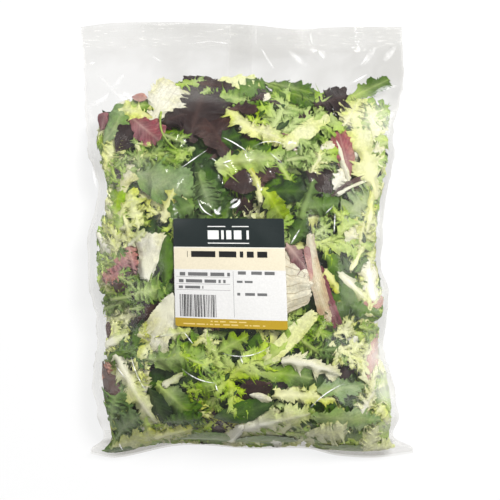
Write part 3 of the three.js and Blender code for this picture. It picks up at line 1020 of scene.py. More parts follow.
def kept_inside(place, points, heading, below_top):
    """A leaf's place, moved in from the sides and the ends as far as its points need."""
    swung = turned(points, math.radians(90 - heading))
    x, y = place
    if below_top:
        y = min(y, float(HEAP_TOP(x)) - 0.95 * swung[:, 1].max())
    y = max(y, HEAP_START - 0.9 * swung[:, 1].min())
    lowest = float(left_side(y)) + 6 - 0.85 * swung[:, 0].min()
    highest = float(right_side(y)) - 3.5 - 0.85 * swung[:, 0].max()
    return min(max(x, lowest), highest), y


def add_leaf(form, colour, place, length, width, heading, tone, under, bend, seed, front=True, fine=True):
    rng = np.random.default_rng(seed)
    parts = leaf_parts(form, length, width, bend, rng, fine)
    if not parts:
        return
    outline = np.concatenate([part[0].reshape(-1, 3) for part in parts])
    place = kept_inside(place, outline, heading, not fine)
    under += rng.uniform(0, 0.1)
    top = np.percentile(np.concatenate([part[0][..., 2].ravel() for part in parts]),
                        FREE_WHEN_SHOWN if fine else FREE_WHEN_BURIED)
    heap = HEAPS["lacy_" + colour if form in LACY and colour in ("green", "fresh") else colour]
    for grid, thickness, along, sideways, pale in parts:
        laid, thickness = lay(grid, thickness, place, heading, under, top, front,
                              SHOWN_REACH if fine else BURIED_REACH)
        heap.add(laid, thickness, along, sideways, tone, pale + 0 * sideways)


# The leaves that show best, as [form, colour, column, row, length, width, heading, tone, depth, bend]. The
# column and row are the pixel of the photograph at the leaf's middle. Length, width and depth under the
# film are in millimetres, and the heading is where the tip points, in degrees from +X.
SHOWN = [
    ["fringed", "cream", 163, 101, 40, 34, 60, 0.0, 0.0, 15],
    ["leaf", "pale", 137, 112, 34, 15, 165, 0.3, 0.8, 0],
    ["smooth", "red", 139, 97, 14, 9, -10, 0.95, 1.5, 0],
    ["crumpled", "purple", 199, 107, 64, 58, 75, 0.2, 1.3, 10],
    ["crumpled", "purple", 217, 136, 46, 30, 120, 0.6, 1.5, -20],
    ["crumpled", "purple", 178, 116, 34, 24, 20, 0.1, 1.0, 0],
    ["frilly", "green", 190, 83, 28, 15, 5, 0.15, 1.2, 0],
    ["leaf", "dark", 244, 92, 44, 24, 30, 0.0, 2.0, 0],
    ["frilly", "green", 232, 98, 36, 22, 170, 0.4, 1.6, 0],
    ["leaf", "purple", 216, 85, 34, 12, -8, 0.1, 0.6, 0],
    ["frilly", "green", 206, 90, 13, 11, 30, 0.1, 0.4, 0],
    ["smooth", "red", 103, 121, 17, 13, 80, 0.02, 0.6, 0],
    ["crumpled", "sage", 115, 124, 40, 21, 62, 0.4, 0.1, -20],
    ["smooth", "purple", 126, 137, 33, 22, 55, 0.25, 0.15, 10],
    ["crumpled", "red", 145, 129, 34, 26, -40, 0.35, 0.3, 0],
    ["stem", "green", 165, 131, 44, 1.8, -70, 0.1, 0.1, -80],
    ["frisee", "dark", 187, 134, 46, 30, 8, 0.0, 0.4, 10],
    ["star", "pale", 139, 148, 15, 14, -60, 0.2, 0.4, 0],
    ["frisee", "green", 150, 155, 48, 28, 5, 0.9, 1.6, 0],
    ["broad", "sage", 163, 182, 58, 44, -25, 0.45, 0.6, 15],
    ["frilly", "pale", 110, 153, 30, 20, 70, 0.3, 0.8, 0],
    ["curly", "green", 106, 175, 30, 22, 100, 0.2, 1.0, 0],
    ["smooth", "purple", 116, 177, 18, 10, 100, 0.2, 0.6, 0],
    ["broad", "cream", 127, 177, 36, 19, 62, 0.45, 0.4, 25],
    ["leaf", "fresh", 116, 208, 40, 17, 80, 0.5, 0.8, 0],
    ["frilly", "pale", 133, 210, 34, 22, 110, 0.3, 0.7, 0],
    ["curly", "fresh", 157, 210, 34, 30, 70, 0.05, 0.5, 0],
    ["strip", "pale", 168, 205, 30, 12, 70, 0.9, 0.3, 0],
    ["frilly", "sage", 204, 190, 34, 30, -70, 0.9, 0.6, 0],
    ["leaf", "dark", 182, 209, 30, 22, 200, 0.2, 1.0, 0],
    ["leaf", "pale", 236, 81, 42, 16, 0, 0.1, 0.5, 0],
    ["frisee", "green", 255, 90, 40, 20, -8, 0.0, 0.9, 0],
    ["frilly", "green", 292, 93, 48, 22, -22, 1.0, 0.9, 0],
    ["frilly", "purple", 259, 96, 16, 12, 30, 0.3, 0.6, 0],
    ["leaf", "purple", 243, 109, 26, 14, 0, 0.3, 0.9, 0],
    ["smooth", "cream", 266, 97, 10, 7, 60, 0.0, 0.3, 0],
    ["frisee", "green", 240, 101, 28, 14, 170, 0.05, 0.6, 0],
    ["frisee", "green", 279, 118, 42, 34, 60, 0.05, 0.3, 30],
    ["frisee", "green", 306, 122, 54, 36, 20, 0.0, 0.3, -30],
    ["ribbon", "pale", 306, 131, 48, 14, 38, 0.15, 0.1, 8],
    ["strip", "pale", 243, 122, 36, 18, 140, 0.3, 0.2, 10],
    ["frilly", "cream", 264, 133, 44, 20, -18, 0.7, 0.2, 15],
    ["strip", "green", 258, 160, 74, 24, 5, 0.2, 0.5, 20],
    ["curly", "fresh", 292, 170, 46, 42, 20, 0.5, 0.3, 10],
    ["curly", "green", 322, 148, 42, 36, 60, 0.0, 0.4, 0],
    ["crumpled", "red", 344, 152, 42, 22, 103, 0.5, 0.4, 0],
    ["chunk", "cream", 343, 163, 42, 5, -72, 0.1, 0.2, 6],
    ["smooth", "cream", 328, 147, 14, 12, 20, 0.2, 0.3, 0],
    ["leaf", "cream", 340, 180, 19, 15, 60, 0.0, 0.2, 0],
    ["smooth", "purple", 350, 186, 40, 8, 28, 1.0, 0.2, 15],
    ["chunk", "cream", 352, 187, 30, 2.5, 26, 0.3, 0.1, 12],
    ["frilly", "purple", 331, 100, 32, 28, 20, 0.0, 0.6, 0],
    ["leaf", "green", 369, 89, 46, 17, 28, 0.85, 0.4, 0],
    ["strip", "pale", 366, 152, 84, 26, 103, 0.1, 0.3, 10],
    ["frisee", "green", 372, 150, 60, 40, 60, 0.05, 1.4, 10],
    ["frisee", "pale", 383, 385, 44, 26, 80, 0.0, 0.4, 0],
    ["frisee", "pale", 386, 300, 30, 18, 95, 0.0, 0.3, 0],
    ["frilly", "pale", 379, 260, 22, 13, 80, 0.5, 0.8, 0],
    ["frilly", "pale", 372, 122, 34, 22, 95, 0.1, 0.4, 0],
    ["frilly", "cream", 352, 112, 32, 26, 60, 0.7, 0.8, 0],
    ["frilly", "green", 372, 118, 34, 26, 30, 0.2, 1.2, 0],
    ["leaf", "purple", 268, 171, 30, 20, 60, 0.5, 1.2, 0],
    ["smooth", "purple", 243, 182, 32, 20, 10, 0.5, 1.2, 0],
    ["strip", "pale", 257, 185, 32, 8, 108, 1.0, 0.2, -40],
    ["broad", "dark", 287, 191, 38, 20, 0, 0.9, 1.2, 0],
    ["leaf", "fresh", 274, 204, 34, 20, -58, 0.95, 0.5, 10],
    ["strip", "dark", 308, 196, 40, 18, 70, 0.2, 0.5, 0],
    ["leaf", "dark", 322, 206, 30, 22, 10, 0.0, 0.9, 0],
    ["smooth", "purple", 318, 180, 30, 14, -40, 0.4, 0.8, 0],
    ["frilly", "sage", 358, 206, 44, 30, 40, 0.1, 0.6, 0],
    ["chunk", "pale", 371, 206, 28, 6, 85, 0.5, 0.4, 0],
    ["broad", "dark", 228, 139, 24, 20, 20, 0.7, 1.0, 0],
    ["frisee", "fresh", 336, 240, 54, 36, 10, 0.05, 0.4, 0],
    ["curly", "green", 345, 255, 34, 26, 60, 0.1, 0.6, 0],
    ["curly", "fresh", 369, 240, 22, 18, 80, 0.2, 0.4, 0],
    ["fan", "beige", 287, 283, 46, 78, 178, 0.15, 0.3, 0],
    ["leaf", "red", 298, 258, 34, 18, -52, 0.15, 0.5, 0],
    ["band", "beige", 318, 279, 80, 17, -77, 0.5, 0.1, -25],
    ["ribbon", "red", 327, 296, 54, 11, -71, 0.0, 0.5, -10],
    ["ribbon", "red", 311, 266, 32, 7, -78, 0.75, 0.0, 0],
    ["frisee", "green", 331, 264, 22, 18, 0, 0.0, 0.3, 0],
    ["strip", "pale", 335, 284, 30, 12, -58, 1.0, 0.1, 0],
    ["leaf", "dark", 350, 300, 44, 32, 215, 0.3, 1.3, 0],
    ["leaf", "dark", 337, 268, 34, 20, -50, 0.4, 1.0, 0],
    ["broad", "dark", 298, 231, 26, 18, 60, 0.4, 0.5, 0],
    ["chunk", "cream", 354, 287, 38, 11, -45, 0.7, 0.4, 0],
    ["chunk", "cream", 370, 281, 36, 19, 96, 0.05, 0.3, 0],
    ["smooth", "red", 373, 302, 24, 13, 10, 0.95, 0.6, 0],
    ["leaf", "dark", 366, 311, 30, 20, 160, 0.1, 0.4, 0],
    ["frisee", "pale", 355, 326, 46, 30, -10, 0.7, 0.4, 0],
    ["ribbon", "pale", 291, 337, 62, 14, 43, 0.0, 0.1, -10],
    ["strip", "green", 284, 345, 50, 18, 46, 0.2, 0.6, 0],
    ["curly", "fresh", 318, 340, 42, 34, 30, 0.4, 0.5, 0],
    ["frisee", "pale", 350, 353, 46, 26, -25, 0.2, 0.5, 0],
    ["curly", "pale", 366, 378, 30, 20, 80, 0.3, 0.5, 0],
    ["strip", "cream", 312, 367, 54, 15, -15, 0.3, 0.2, 25],
    ["leaf", "green", 286, 375, 52, 22, -8, 0.8, 0.6, 10],
    ["lance", "sage", 343, 388, 46, 18, 5, 0.45, 0.5, -10],
    ["smooth", "dark", 246, 411, 54, 18, 16, 0.4, 0.3, -10],
    ["smooth", "cream", 260, 398, 20, 9, -15, 0.2, 0.2, 0],
    ["smooth", "purple", 252, 391, 36, 18, 15, 0.5, 1.0, 0],
    ["strip", "pale", 305, 396, 54, 17, -5, 0.4, 0.7, 10],
    ["strip", "cream", 276, 422, 60, 22, 15, 0.9, 0.3, 10],
    ["curly", "fresh", 274, 407, 32, 20, 100, 0.1, 0.5, 0],
    ["lance", "sage", 345, 418, 62, 17, -3, 0.15, 0.2, 5],
    ["frilly", "pale", 328, 431, 38, 24, 15, 0.0, 0.2, 0],
    ["smooth", "sage", 268, 442, 56, 15, -2, 0.15, 0.2, 0],
    ["frilly", "pale", 369, 437, 28, 20, 70, 0.0, 0.3, 0],
    ["frilly", "pale", 379, 441, 28, 14, 10, 0.0, 0.4, 0],
    ["smooth", "red", 373, 360, 46, 12, 76, 1.0, 0.8, 0],
    ["strip", "cream", 369, 401, 26, 12, 60, 0.6, 0.8, 0],
    ["curly", "green", 117, 314, 34, 30, 60, 0.4, 0.8, 0],
    ["frisee", "pale", 139, 308, 24, 22, -70, 0.4, 0.5, 0],
    ["base", "cream", 163, 320, 50, 34, 242, 0.25, 0.3, 0],
    ["leaf", "cream", 176, 334, 28, 14, 10, 1.0, 0.5, 0],
    ["smooth", "purple", 104, 330, 14, 8, 90, 0.8, 0.6, 0],
    ["base", "cream", 116, 340, 26, 14, 25, 1.0, 0.4, 0],
    ["star", "pale", 140, 335, 16, 14, 40, 0.5, 0.3, 0],
    ["frisee", "dark", 126, 352, 38, 26, 20, 0.3, 0.9, 0],
    ["strip", "cream", 134, 389, 72, 22, -61, 0.7, 0.1, -8],
    ["leaf", "pale", 143, 356, 32, 16, 60, 0.3, 0.5, 0],
    ["crumpled", "purple", 107, 380, 36, 17, -60, 1.0, 0.5, 0],
    ["frilly", "red", 104, 371, 16, 11, 60, 1.0, 0.2, 0],
    ["frilly", "green", 180, 358, 60, 36, 5, 0.4, 0.5, 0],
    ["frisee", "pale", 158, 373, 34, 20, 15, 0.7, 0.3, 0],
    ["chunk", "cream", 173, 380, 20, 7, 32, 1.0, 0.1, 0],
    ["frisee", "fresh", 221, 366, 38, 30, 150, 0.05, 0.2, 20],
    ["frisee", "fresh", 231, 386, 36, 28, -75, 0.1, 0.1, 0],
    ["frisee", "fresh", 243, 368, 36, 26, 30, 0.0, 0.1, 30],
    ["frilly", "fresh", 214, 384, 30, 20, 200, 0.5, 0.4, 0],
    ["star", "pale", 258, 368, 18, 15, 20, 1.0, 0.1, 0],
    ["lance", "fresh", 231, 345, 34, 16, 28, 0.8, 0.3, 0],
    ["star", "pale", 207, 340, 20, 15, -80, 0.3, 0.3, 0],
    ["leaf", "green", 175, 400, 44, 28, -42, 0.9, 0.5, 0],
    ["smooth", "dark", 158, 408, 40, 20, -65, 0.9, 0.9, 0],
    ["frisee", "pale", 201, 424, 36, 20, -52, 0.9, 0.2, 0],
    ["frilly", "sage", 112, 404, 40, 30, 70, 0.8, 0.2, 20],
    ["frilly", "pale", 136, 437, 46, 18, 8, 0.5, 0.1, 10],
    ["strip", "pale", 174, 435, 36, 14, 12, 0.7, 0.2, 0],
    ["leaf", "dark", 107, 447, 24, 10, 10, 0.1, 0.6, 0],
    ["frisee", "pale", 117, 235, 46, 30, 85, 0.3, 0.4, 0],
    ["chunk", "pale", 127, 229, 26, 4, -80, 0.9, 0.2, 30],
    ["leaf", "fresh", 120, 222, 24, 14, 80, 0.5, 0.3, 0],
    ["curly", "pale", 157, 230, 36, 32, 20, 0.6, 0.4, 0],
    ["leaf", "cream", 136, 239, 20, 13, 40, 1.0, 0.4, 0],
    ["broad", "dark", 166, 262, 42, 17, 90, 0.1, 0.5, 0],
    ["base", "cream", 149, 256, 40, 28, 80, 0.1, 0.2, 0],
    ["frilly", "red", 132, 260, 24, 12, 100, 0.7, 0.3, 0],
    ["frilly", "red", 113, 275, 22, 14, 200, 0.75, 0.4, 0],
    ["leaf", "purple", 126, 271, 20, 18, 60, 1.0, 0.8, 0],
    ["leaf", "green", 120, 258, 20, 15, 20, 0.8, 0.9, 0],
    ["leaf", "purple", 121, 290, 24, 13, -30, 0.8, 0.7, 0],
    ["frilly", "green", 148, 291, 34, 26, 10, 0.25, 0.4, 0],
    ["leaf", "dark", 165, 292, 18, 16, 40, 0.2, 0.7, 0],
    # Small purple and dark leaves right under the film, where dark leaves show through holes: partly their
    # own colour, partly painted shade.
    ["smooth", "purple", 275, 103, 12, 6, -20, 0.5, 0.0, 0],
    ["smooth", "dark", 283, 124, 14, 7, 40, 0.8, 0.0, 0],
    ["smooth", "purple", 304, 114, 14, 8, 35, 0.6, 0.0, 0],
    ["smooth", "purple", 250, 109, 20, 8, 5, 0.5, 0.0, 0],
    ["smooth", "dark", 262, 112, 9, 4, 60, 1.0, 0.0, 0],
    # Tiny dark leaves right under the film: painted shade in the gaps between the leaves.
    ["smooth", "dark", 331, 251, 6, 4, 60, 1.0, 0.0, 0],
    ["smooth", "dark", 363, 237, 12, 5, -70, 0.9, 0.0, 0],
    ["smooth", "dark", 236, 392, 7, 3, 60, 1.0, 0.0, 0],
    ["smooth", "dark", 227, 377, 9, 3.5, 60, 1.0, 0.0, 0],
    ["smooth", "dark", 243, 378, 8, 4, 20, 1.0, 0.0, 0],
    ["smooth", "dark", 318, 341, 10, 6, 40, 1.0, 0.0, 0],
    ["smooth", "dark", 352, 379, 6, 4, -50, 1.0, 0.0, 0],
    ["frilly", "sage", 126, 424, 32, 22, 40, 0.7, 0.2, 30],
    ["smooth", "sage", 212, 442, 60, 15, 3, 0.15, 0.2, 0],
    ["frilly", "dark", 182, 421, 34, 22, 10, 0.2, 0.3, 0],
    ["smooth", "dark", 340, 283, 22, 6, -70, 0.9, 0.3, 0],
    ["frilly", "green", 292, 88, 40, 16, -15, 1.0, 0.3, 0],
    ["leaf", "dark", 272, 99, 28, 18, 0, 0.4, 2.0, 0],
    ["smooth", "sage", 342, 449, 56, 12, 3, 0.0, 0.1, 0],
    ["leaf", "dark", 258, 101, 40, 22, 5, 0.3, 2.6, 0],
    ["leaf", "green", 138, 105, 28, 18, 0, 0.5, 2.6, 0],
    ["leaf", "cream", 352, 236, 22, 14, 60, 0.5, 0.1, 0],
    ["frisee", "pale", 369, 234, 30, 20, 80, 0.7, 0.1, 0],
    ["star", "pale", 333, 264, 18, 16, 0, 0.3, 0.1, 0],
    ["chunk", "pale", 357, 257, 27, 6, 62, 0.4, 0.1, 0],
    ["frisee", "pale", 113, 300, 30, 20, 80, 0.3, 0.3, 0],
    ["frisee", "pale", 108, 205, 34, 18, 85, 0.3, 0.3, 0],
    ["star", "green", 323, 229, 20, 17, 40, 0.1, 0.1, 0],
    ["star", "fresh", 342, 222, 20, 16, 100, 0.1, 0.1, 0],
    ["star", "fresh", 350, 246, 18, 16, -30, 0.2, 0.1, 0],
    ["star", "green", 320, 331, 20, 17, 60, 0.4, 0.1, 0],
    ["star", "green", 310, 347, 20, 17, -40, 0.5, 0.1, 0],
    ["star", "dark", 329, 350, 18, 15, 0, 0.0, 0.1, 0],
    ["star", "green", 183, 152, 22, 17, 200, 0.4, 0.1, 0],
    ["star", "green", 177, 160, 16, 12, 20, 0.1, 0.1, 0],
    ["star", "green", 172, 138, 22, 16, -20, 0.6, 0.1, 0],
    ["star", "green", 138, 158, 20, 15, 90, 0.3, 0.1, 0],
    ["star", "green", 298, 158, 22, 18, 10, 0.3, 0.1, 0],
    ["star", "green", 283, 170, 20, 18, 120, 0.3, 0.3, 0],
    ["star", "pale", 116, 222, 18, 13, 80, 0.5, 0.1, 0],
    ["star", "fresh", 176, 356, 18, 15, 30, 0.3, 0.1, 0],
    ["star", "green", 196, 362, 20, 15, -20, 0.3, 0.1, 0],
    ["frisee", "green", 319, 160, 30, 22, 50, 0.0, 0.2, 0],
    ["star", "pale", 316, 165, 17, 13, 60, 0.3, 0.1, 0],
    ["frilly", "red", 121, 268, 28, 18, 40, 0.65, 0.2, 0],
    ["star", "green", 124, 279, 18, 14, -30, 0.4, 0.1, 0],
    ["star", "green", 121, 298, 20, 15, 10, 0.5, 0.1, 0],
    # Small dark leaves right under the film: painted shade in the gaps among the pale leaves.
    ["smooth", "dark", 346, 264, 14, 8, -65, 0.7, 0.0, 0],
    ["frilly", "dark", 361, 265, 17, 12, 50, 0.0, 0.1, 0],
    ["smooth", "dark", 352, 246, 6, 4, -60, 0.9, 0.0, 0],
    ["smooth", "dark", 329, 222, 6, 3.5, 40, 0.9, 0.0, 0],
    ["leaf", "dark", 359, 221, 20, 11, -20, 0.6, 0.1, 0],
    ["star", "pale", 373, 222, 18, 14, 80, 0.5, 0.1, 0],
    ["star", "green", 371, 329, 18, 14, -20, 0.3, 0.1, 0],
    ["star", "pale", 343, 331, 18, 14, 20, 0.2, 0.1, 0],
    # A tiny dark leaf right under the film: painted shade in a gap.
    ["smooth", "dark", 345, 342, 9, 5, -20, 0.8, 0.0, 0],
]


SHOWN_SEED = 100


def add_shown_leaves():
    for k, (form, colour, column, row, *measures) in enumerate(SHOWN):
        add_leaf(form, colour, on_front(column, row), *measures, SHOWN_SEED + k)


GOLDEN = (math.sqrt(5) - 1) / 2  # steps of this share of a width spread evenly over it

# How often each kind of leaf comes up where none is placed one by one, as [form, colour, chance, length,
# width]
MIXTURE = [
    ["frisee", "pale", 2.4, 44, 32], ["frisee", "green", 3.4, 46, 34], ["curly", "fresh", 2.6, 36, 32],
    ["leaf", "green", 2.6, 42, 28], ["frilly", "green", 2.4, 40, 30], ["frilly", "fresh", 1.2, 40, 30],
    ["leaf", "dark", 3.2, 42, 28], ["broad", "dark", 2.0, 42, 26], ["frilly", "purple", 0.9, 40, 32],
    ["smooth", "purple", 0.4, 28, 18], ["frilly", "red", 0.8, 32, 24], ["strip", "cream", 1.0, 40, 16],
    ["base", "cream", 0.6, 30, 18], ["strip", "pale", 0.8, 40, 16], ["lance", "green", 1.0, 46, 16],
]


LEAVES_A_SEED = 1000


def scatter(count, seed, depth_range, front, limit, y_range, dark_share):
    """Leaves spread evenly over a face of the bag, in seeded random order."""
    rng = np.random.default_rng(seed)
    chances = np.array([m[2] for m in MIXTURE])
    chances = chances * np.array([dark_share if m[1] in ("dark", "purple") else 1 for m in MIXTURE])
    for k in range(count):
        form, colour, _, length, width = MIXTURE[rng.choice(len(MIXTURE), p=chances / chances.sum())]
        y = mix(y_range[0], y_range[1], (k + rng.uniform(0, 1)) / count)
        side = 2 * ((k * GOLDEN + rng.uniform(-0.06, 0.06)) % 1) - 1
        x = x_across(limit * side, y)
        size = rng.uniform(0.75, 1.25)
        add_leaf(form, colour, (float(x), y), length * size, width * size, rng.uniform(0, 360),
                 rng.uniform(0, 1), rng.uniform(*depth_range), rng.uniform(-30, 30),
                 LEAVES_A_SEED * seed + k, front, fine=False)


# Where the shown leaves are plain, as [column, row, radius] in the photograph's pixels
PLAIN_SPOTS = [
    [198, 112, 36], [163, 100, 20], [165, 182, 24], [302, 284, 26], [149, 255, 18], [160, 320, 22],
    [325, 284, 18], [318, 262, 16], [347, 301, 18], [246, 411, 20], [276, 422, 20], [134, 389, 16],
    [291, 337, 18], [306, 131, 16], [120, 135, 20], [285, 185, 22], [368, 90, 18], [175, 400, 20],
    [342, 155, 18],
]
SPRIGS = 46
SPRIG_SEED = 5000


def add_sprigs():
    """Small frisee tips between the larger leaves."""
    rng = np.random.default_rng(12)
    clear = [(*on_front(column, row), radius * PIXEL) for column, row, radius in PLAIN_SPOTS]
    for k in range(SPRIGS):
        y = mix(-176, 122, (k + rng.uniform(0, 1)) / SPRIGS)
        x = mix(left_side(y), right_side(y), (k * GOLDEN + rng.uniform(-0.05, 0.05)) % 1)
        size, heading = rng.uniform(10, 19), rng.uniform(0, 360)
        tone, under = rng.uniform(0, 0.7), rng.uniform(0.3, 1.5)
        colour = rng.choice(["pale", "green", "fresh", "green"])
        if all(math.hypot(x - spot[0], y - spot[1]) > spot[2] for spot in clear):
            add_leaf("star", colour, (float(x), y), size, 0.9 * size, heading, tone, under, 0,
                     SPRIG_SEED + k, fine=False)


SIDE_LEAVES = 60
SIDE_SEED = 6000


def add_side_leaves():
    """Small pale and green leaves that close the heap's sides."""
    rng = np.random.default_rng(15)
    for k in range(SIDE_LEAVES):
        y = mix(-174, 112, (k + rng.uniform(0, 1)) / SIDE_LEAVES)
        side = rng.uniform(0.86, 0.97) if k % 2 else rng.uniform(-0.93, -0.84)
        x = x_across(side, y)
        size = rng.uniform(22, 36)
        form = rng.choice(["frisee", "leaf", "frilly"])
        colour = rng.choice(["pale", "pale", "green", "fresh"])
        place = (float(x), y)
        add_leaf(form, colour, place, size, 0.7 * size, rng.uniform(0, 360), rng.uniform(0, 0.5),
                 rng.uniform(2, 4), 0, SIDE_SEED + k, fine=False)


CORE_LOW, CORE_HIGH = -164, 112
CORE_SIDES = 0.86
CORE_DEPTH = 13  # how far inside the film it lies


def make_core():
    """The inside of the heap, which closes the gaps between the leaves; its near-black green is painted
    shade for the deep gaps.
    """
    rows, cells = 70, 50
    y = np.linspace(CORE_LOW, CORE_HIGH, rows)[:, None]
    share = np.linspace(-CORE_SIDES, CORE_SIDES, cells)[None, :]
    x = x_across(share, y)
    y = y + 0 * x
    ceiling, ground = front_height(x, y), back_height(x, y)
    ends = ease(CORE_LOW, CORE_LOW + 18, y) * ease(CORE_HIGH, CORE_HIGH - 24, y)
    rim = np.minimum(ease(1, 0.8, np.abs(share) / CORE_SIDES), ends)
    middle = (ceiling + ground) / 2
    half = np.maximum((ceiling - ground) / 2 - CORE_DEPTH, 0) * rim + 0.05
    bumps = 2.5 * noise(x, y, 8, 21) + 1.5 * noise(x, y, 4, 22)
    top = np.stack([x, y + stray(x, y), middle + half + bumps * rim], -1)
    low = np.stack([x, y + stray(x, y), middle - half - bumps * rim - 0.2], -1)
    points, quads = closed_sheets(top, low)
    material, tree = new_material("heap_painted_shade")
    # Near-black green, darker than any leaf: painted shade in the deep gaps between the leaves.
    colour = ramp(tree, grain(tree, 90, 4), [
        (0.3, (0.008, 0.022, 0.004)), (0.5, (0.02, 0.05, 0.008)), (0.7, (0.045, 0.10, 0.015)),
    ])
    bump = bumped(tree, 0.6, 0.002, grain(tree, 260))
    surface = node(tree, "ShaderNodeBsdfPrincipled", {
        "Base Color": colour, "Roughness": 0.6, "Normal": bump,
    })
    finish_tree(tree, surface.outputs[0])
    core = add_mesh("heap_core", points, quads, material)
    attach(core, "root")


# The scattered layers, as [count, seed, depth under the film, on the front, how far across, reach in y,
# share of dark leaves, where 1 is as MIXTURE has them]. The deeper layers on the front take more dark
# leaves, as painted shade.
LAYERS = [
    [130, 7, (4.5, 8), True, 0.93, (-179, 122), 2.0],
    [36, 11, (1, 7), True, 0.93, (-183, -173), 0.2],
    [56, 8, (8, 12), True, 0.88, (-174, 110), 4],
    [75, 9, (0.5, 4), False, 0.88, (-160, 105), 0.8],
]


SHADE_PLACES = (0.0, 0.5, 1.0)
# The kinds of leaves, as [heap, piece, material, its colours at those places, the ribs' colour, slot, and
# what else its material sets]
KINDS = [
    ["pale", "frisee_pale", "pale_leaves",
     [(0.76, 0.78, 0.46), (0.61, 0.66, 0.21), (0.50, 0.52, 0.08)], (0.74, 0.74, 0.41), "pale_leaf", {}],
    ["fresh", "fresh_leaves", "fresh_leaves",
     [(0.48, 0.61, 0.14), (0.27, 0.45, 0.03), (0.19, 0.28, 0.02)], (0.56, 0.64, 0.18), "green_leaf", {}],
    ["green", "green_leaves", "green_leaves",
     [(0.43, 0.56, 0.17), (0.155, 0.28, 0.03), (0.045, 0.11, 0.010)], (0.50, 0.58, 0.24), "green_leaf", {}],
    ["dark", "dark_leaves", "dark_green_leaves",
     [(0.09, 0.185, 0.022), (0.036, 0.088, 0.012), (0.012, 0.033, 0.009)], (0.21, 0.31, 0.09), "green_leaf",
     {"veins": 0.08}],
    ["purple", "purple_leaves", "purple_leaves",
     [(0.016, 0.011, 0.013), (0.030, 0.017, 0.017), (0.075, 0.040, 0.034)], (0.11, 0.06, 0.050), "red_leaf",
     {"veins": 0.1, "glow": 0.12}],
    ["red", "red_leaves", "red_leaves",
     [(0.13, 0.028, 0.045), (0.30, 0.10, 0.12), (0.56, 0.32, 0.25)], (0.62, 0.46, 0.40), "red_leaf",
     {"veins": 0.2}],
    ["cream", "cream_ribs", "cream_ribs",
     [(0.80, 0.785, 0.66), (0.68, 0.67, 0.38), (0.53, 0.60, 0.20)], (0.78, 0.77, 0.64), "white_rib",
     {"vein_count": 3.0, "strands": 0.3}],
    ["beige", "beige_ribs", "beige_ribs",
     [(0.74, 0.70, 0.55), (0.58, 0.49, 0.33), (0.44, 0.26, 0.19)], (0.76, 0.73, 0.60), "white_rib",
     {"vein_count": 3.0, "strands": 0.75}],
    ["sage", "sage_leaves", "sage_leaves",
     [(0.34, 0.42, 0.19), (0.195, 0.305, 0.11), (0.085, 0.15, 0.045)], (0.44, 0.50, 0.27), "green_leaf", {}],
]


def make_leaves():
    make_core()
    add_shown_leaves()
    add_sprigs()
    add_side_leaves()
    for layer in LAYERS:
        scatter(*layer)
    kinds = {}
    for heap, name, material, colours, rib, slot, settings in KINDS:
        shades = list(zip(SHADE_PLACES, colours))
        kinds[heap] = (name, leaf_material(material, shades, rib, **settings), slot)
    kinds["lacy_green"] = ("frisee_green", *kinds["green"][1:])
    kinds["lacy_fresh"] = ("frisee_fresh", *kinds["fresh"][1:])
    for colour, (name, material, slot) in kinds.items():
        HEAPS[colour].make(name, material, slot)


# The sticker

# The photograph's pixel at each corner of the sticker, row by row
STICKER_CORNERS = [[[173.2, 218.5], [283.7, 218.5]], [[175.4, 326.1], [287.9, 330.1]]]
STICKER_ROUNDING = 2.2
CORNER_STEPS = 5
STICKER_THICKNESS = 0.25

# The bands of the sticker, from its top, as [where it ends, colour]
BANDS = [
    [0.262, (0.012, 0.017, 0.017)], [0.27, (0.54, 0.53, 0.48)], [0.468, (0.512, 0.464, 0.353)],
    [0.918, (0.502, 0.497, 0.486)], [1.0, (0.31, 0.205, 0.014)],
]
DARK, LIGHT, GREY = (0.012, 0.012, 0.012), (0.6, 0.6, 0.58), (0.1, 0.1, 0.1)
STRAW = (0.5, 0.38, 0.14)
# Plain bars and lines, as [left, top, right, bottom, colour, dashes across the sticker or 0 for a bar]
MARKS = [
    [0.31, 0.11, 0.68, 0.19, LIGHT, 22], [0.31, 0.07, 0.47, 0.078, LIGHT, 0],
    [0.53, 0.07, 0.68, 0.078, LIGHT, 0], [0.31, 0.222, 0.68, 0.23, LIGHT, 0],
    [0.12, 0.3, 0.84, 0.355, DARK, 16], [0.527, 0.48, 0.53, 0.9, GREY, 0],
    [0.02, 0.535, 0.5, 0.538, GREY, 0], [0.02, 0.6, 0.5, 0.603, GREY, 0],
    [0.02, 0.655, 0.5, 0.658, GREY, 0], [0.03, 0.495, 0.5, 0.528, GREY, 20],
    [0.03, 0.56, 0.46, 0.59, GREY, 24], [0.03, 0.62, 0.26, 0.645, GREY, 26],
    [0.56, 0.48, 0.9, 0.51, GREY, 21], [0.56, 0.565, 0.7, 0.585, GREY, 27],
    [0.56, 0.675, 0.9, 0.7, GREY, 23], [0.3, 0.937, 0.7, 0.948, STRAW, 30],
    [0.06, 0.965, 0.8, 0.976, STRAW, 34],
]
STRIPES = [0.045, 0.7, 0.37, 0.905]  # the block of upright stripes: left, top, right, bottom
STRIPE_COUNT = 74
GAP_CHANCE = 0.28  # how many of the dashes are left out


def box_mask(tree, u, v, left, top, right, bottom):
    """1 inside a box on the sticker and 0 outside it."""
    inside = [
        calc(tree, "GREATER_THAN", u, left), calc(tree, "LESS_THAN", u, right),
        calc(tree, "GREATER_THAN", v, top), calc(tree, "LESS_THAN", v, bottom),
    ]
    across_box = times(tree, inside[0], inside[1])
    return times(tree, across_box, times(tree, inside[2], inside[3]))


def cell_chance(tree, place):
    """A random number for each whole step of a place."""
    cell = calc(tree, "FLOOR", place)
    return node(tree, "ShaderNodeTexWhiteNoise", {"W": cell}, noise_dimensions="1D").outputs["Value"]


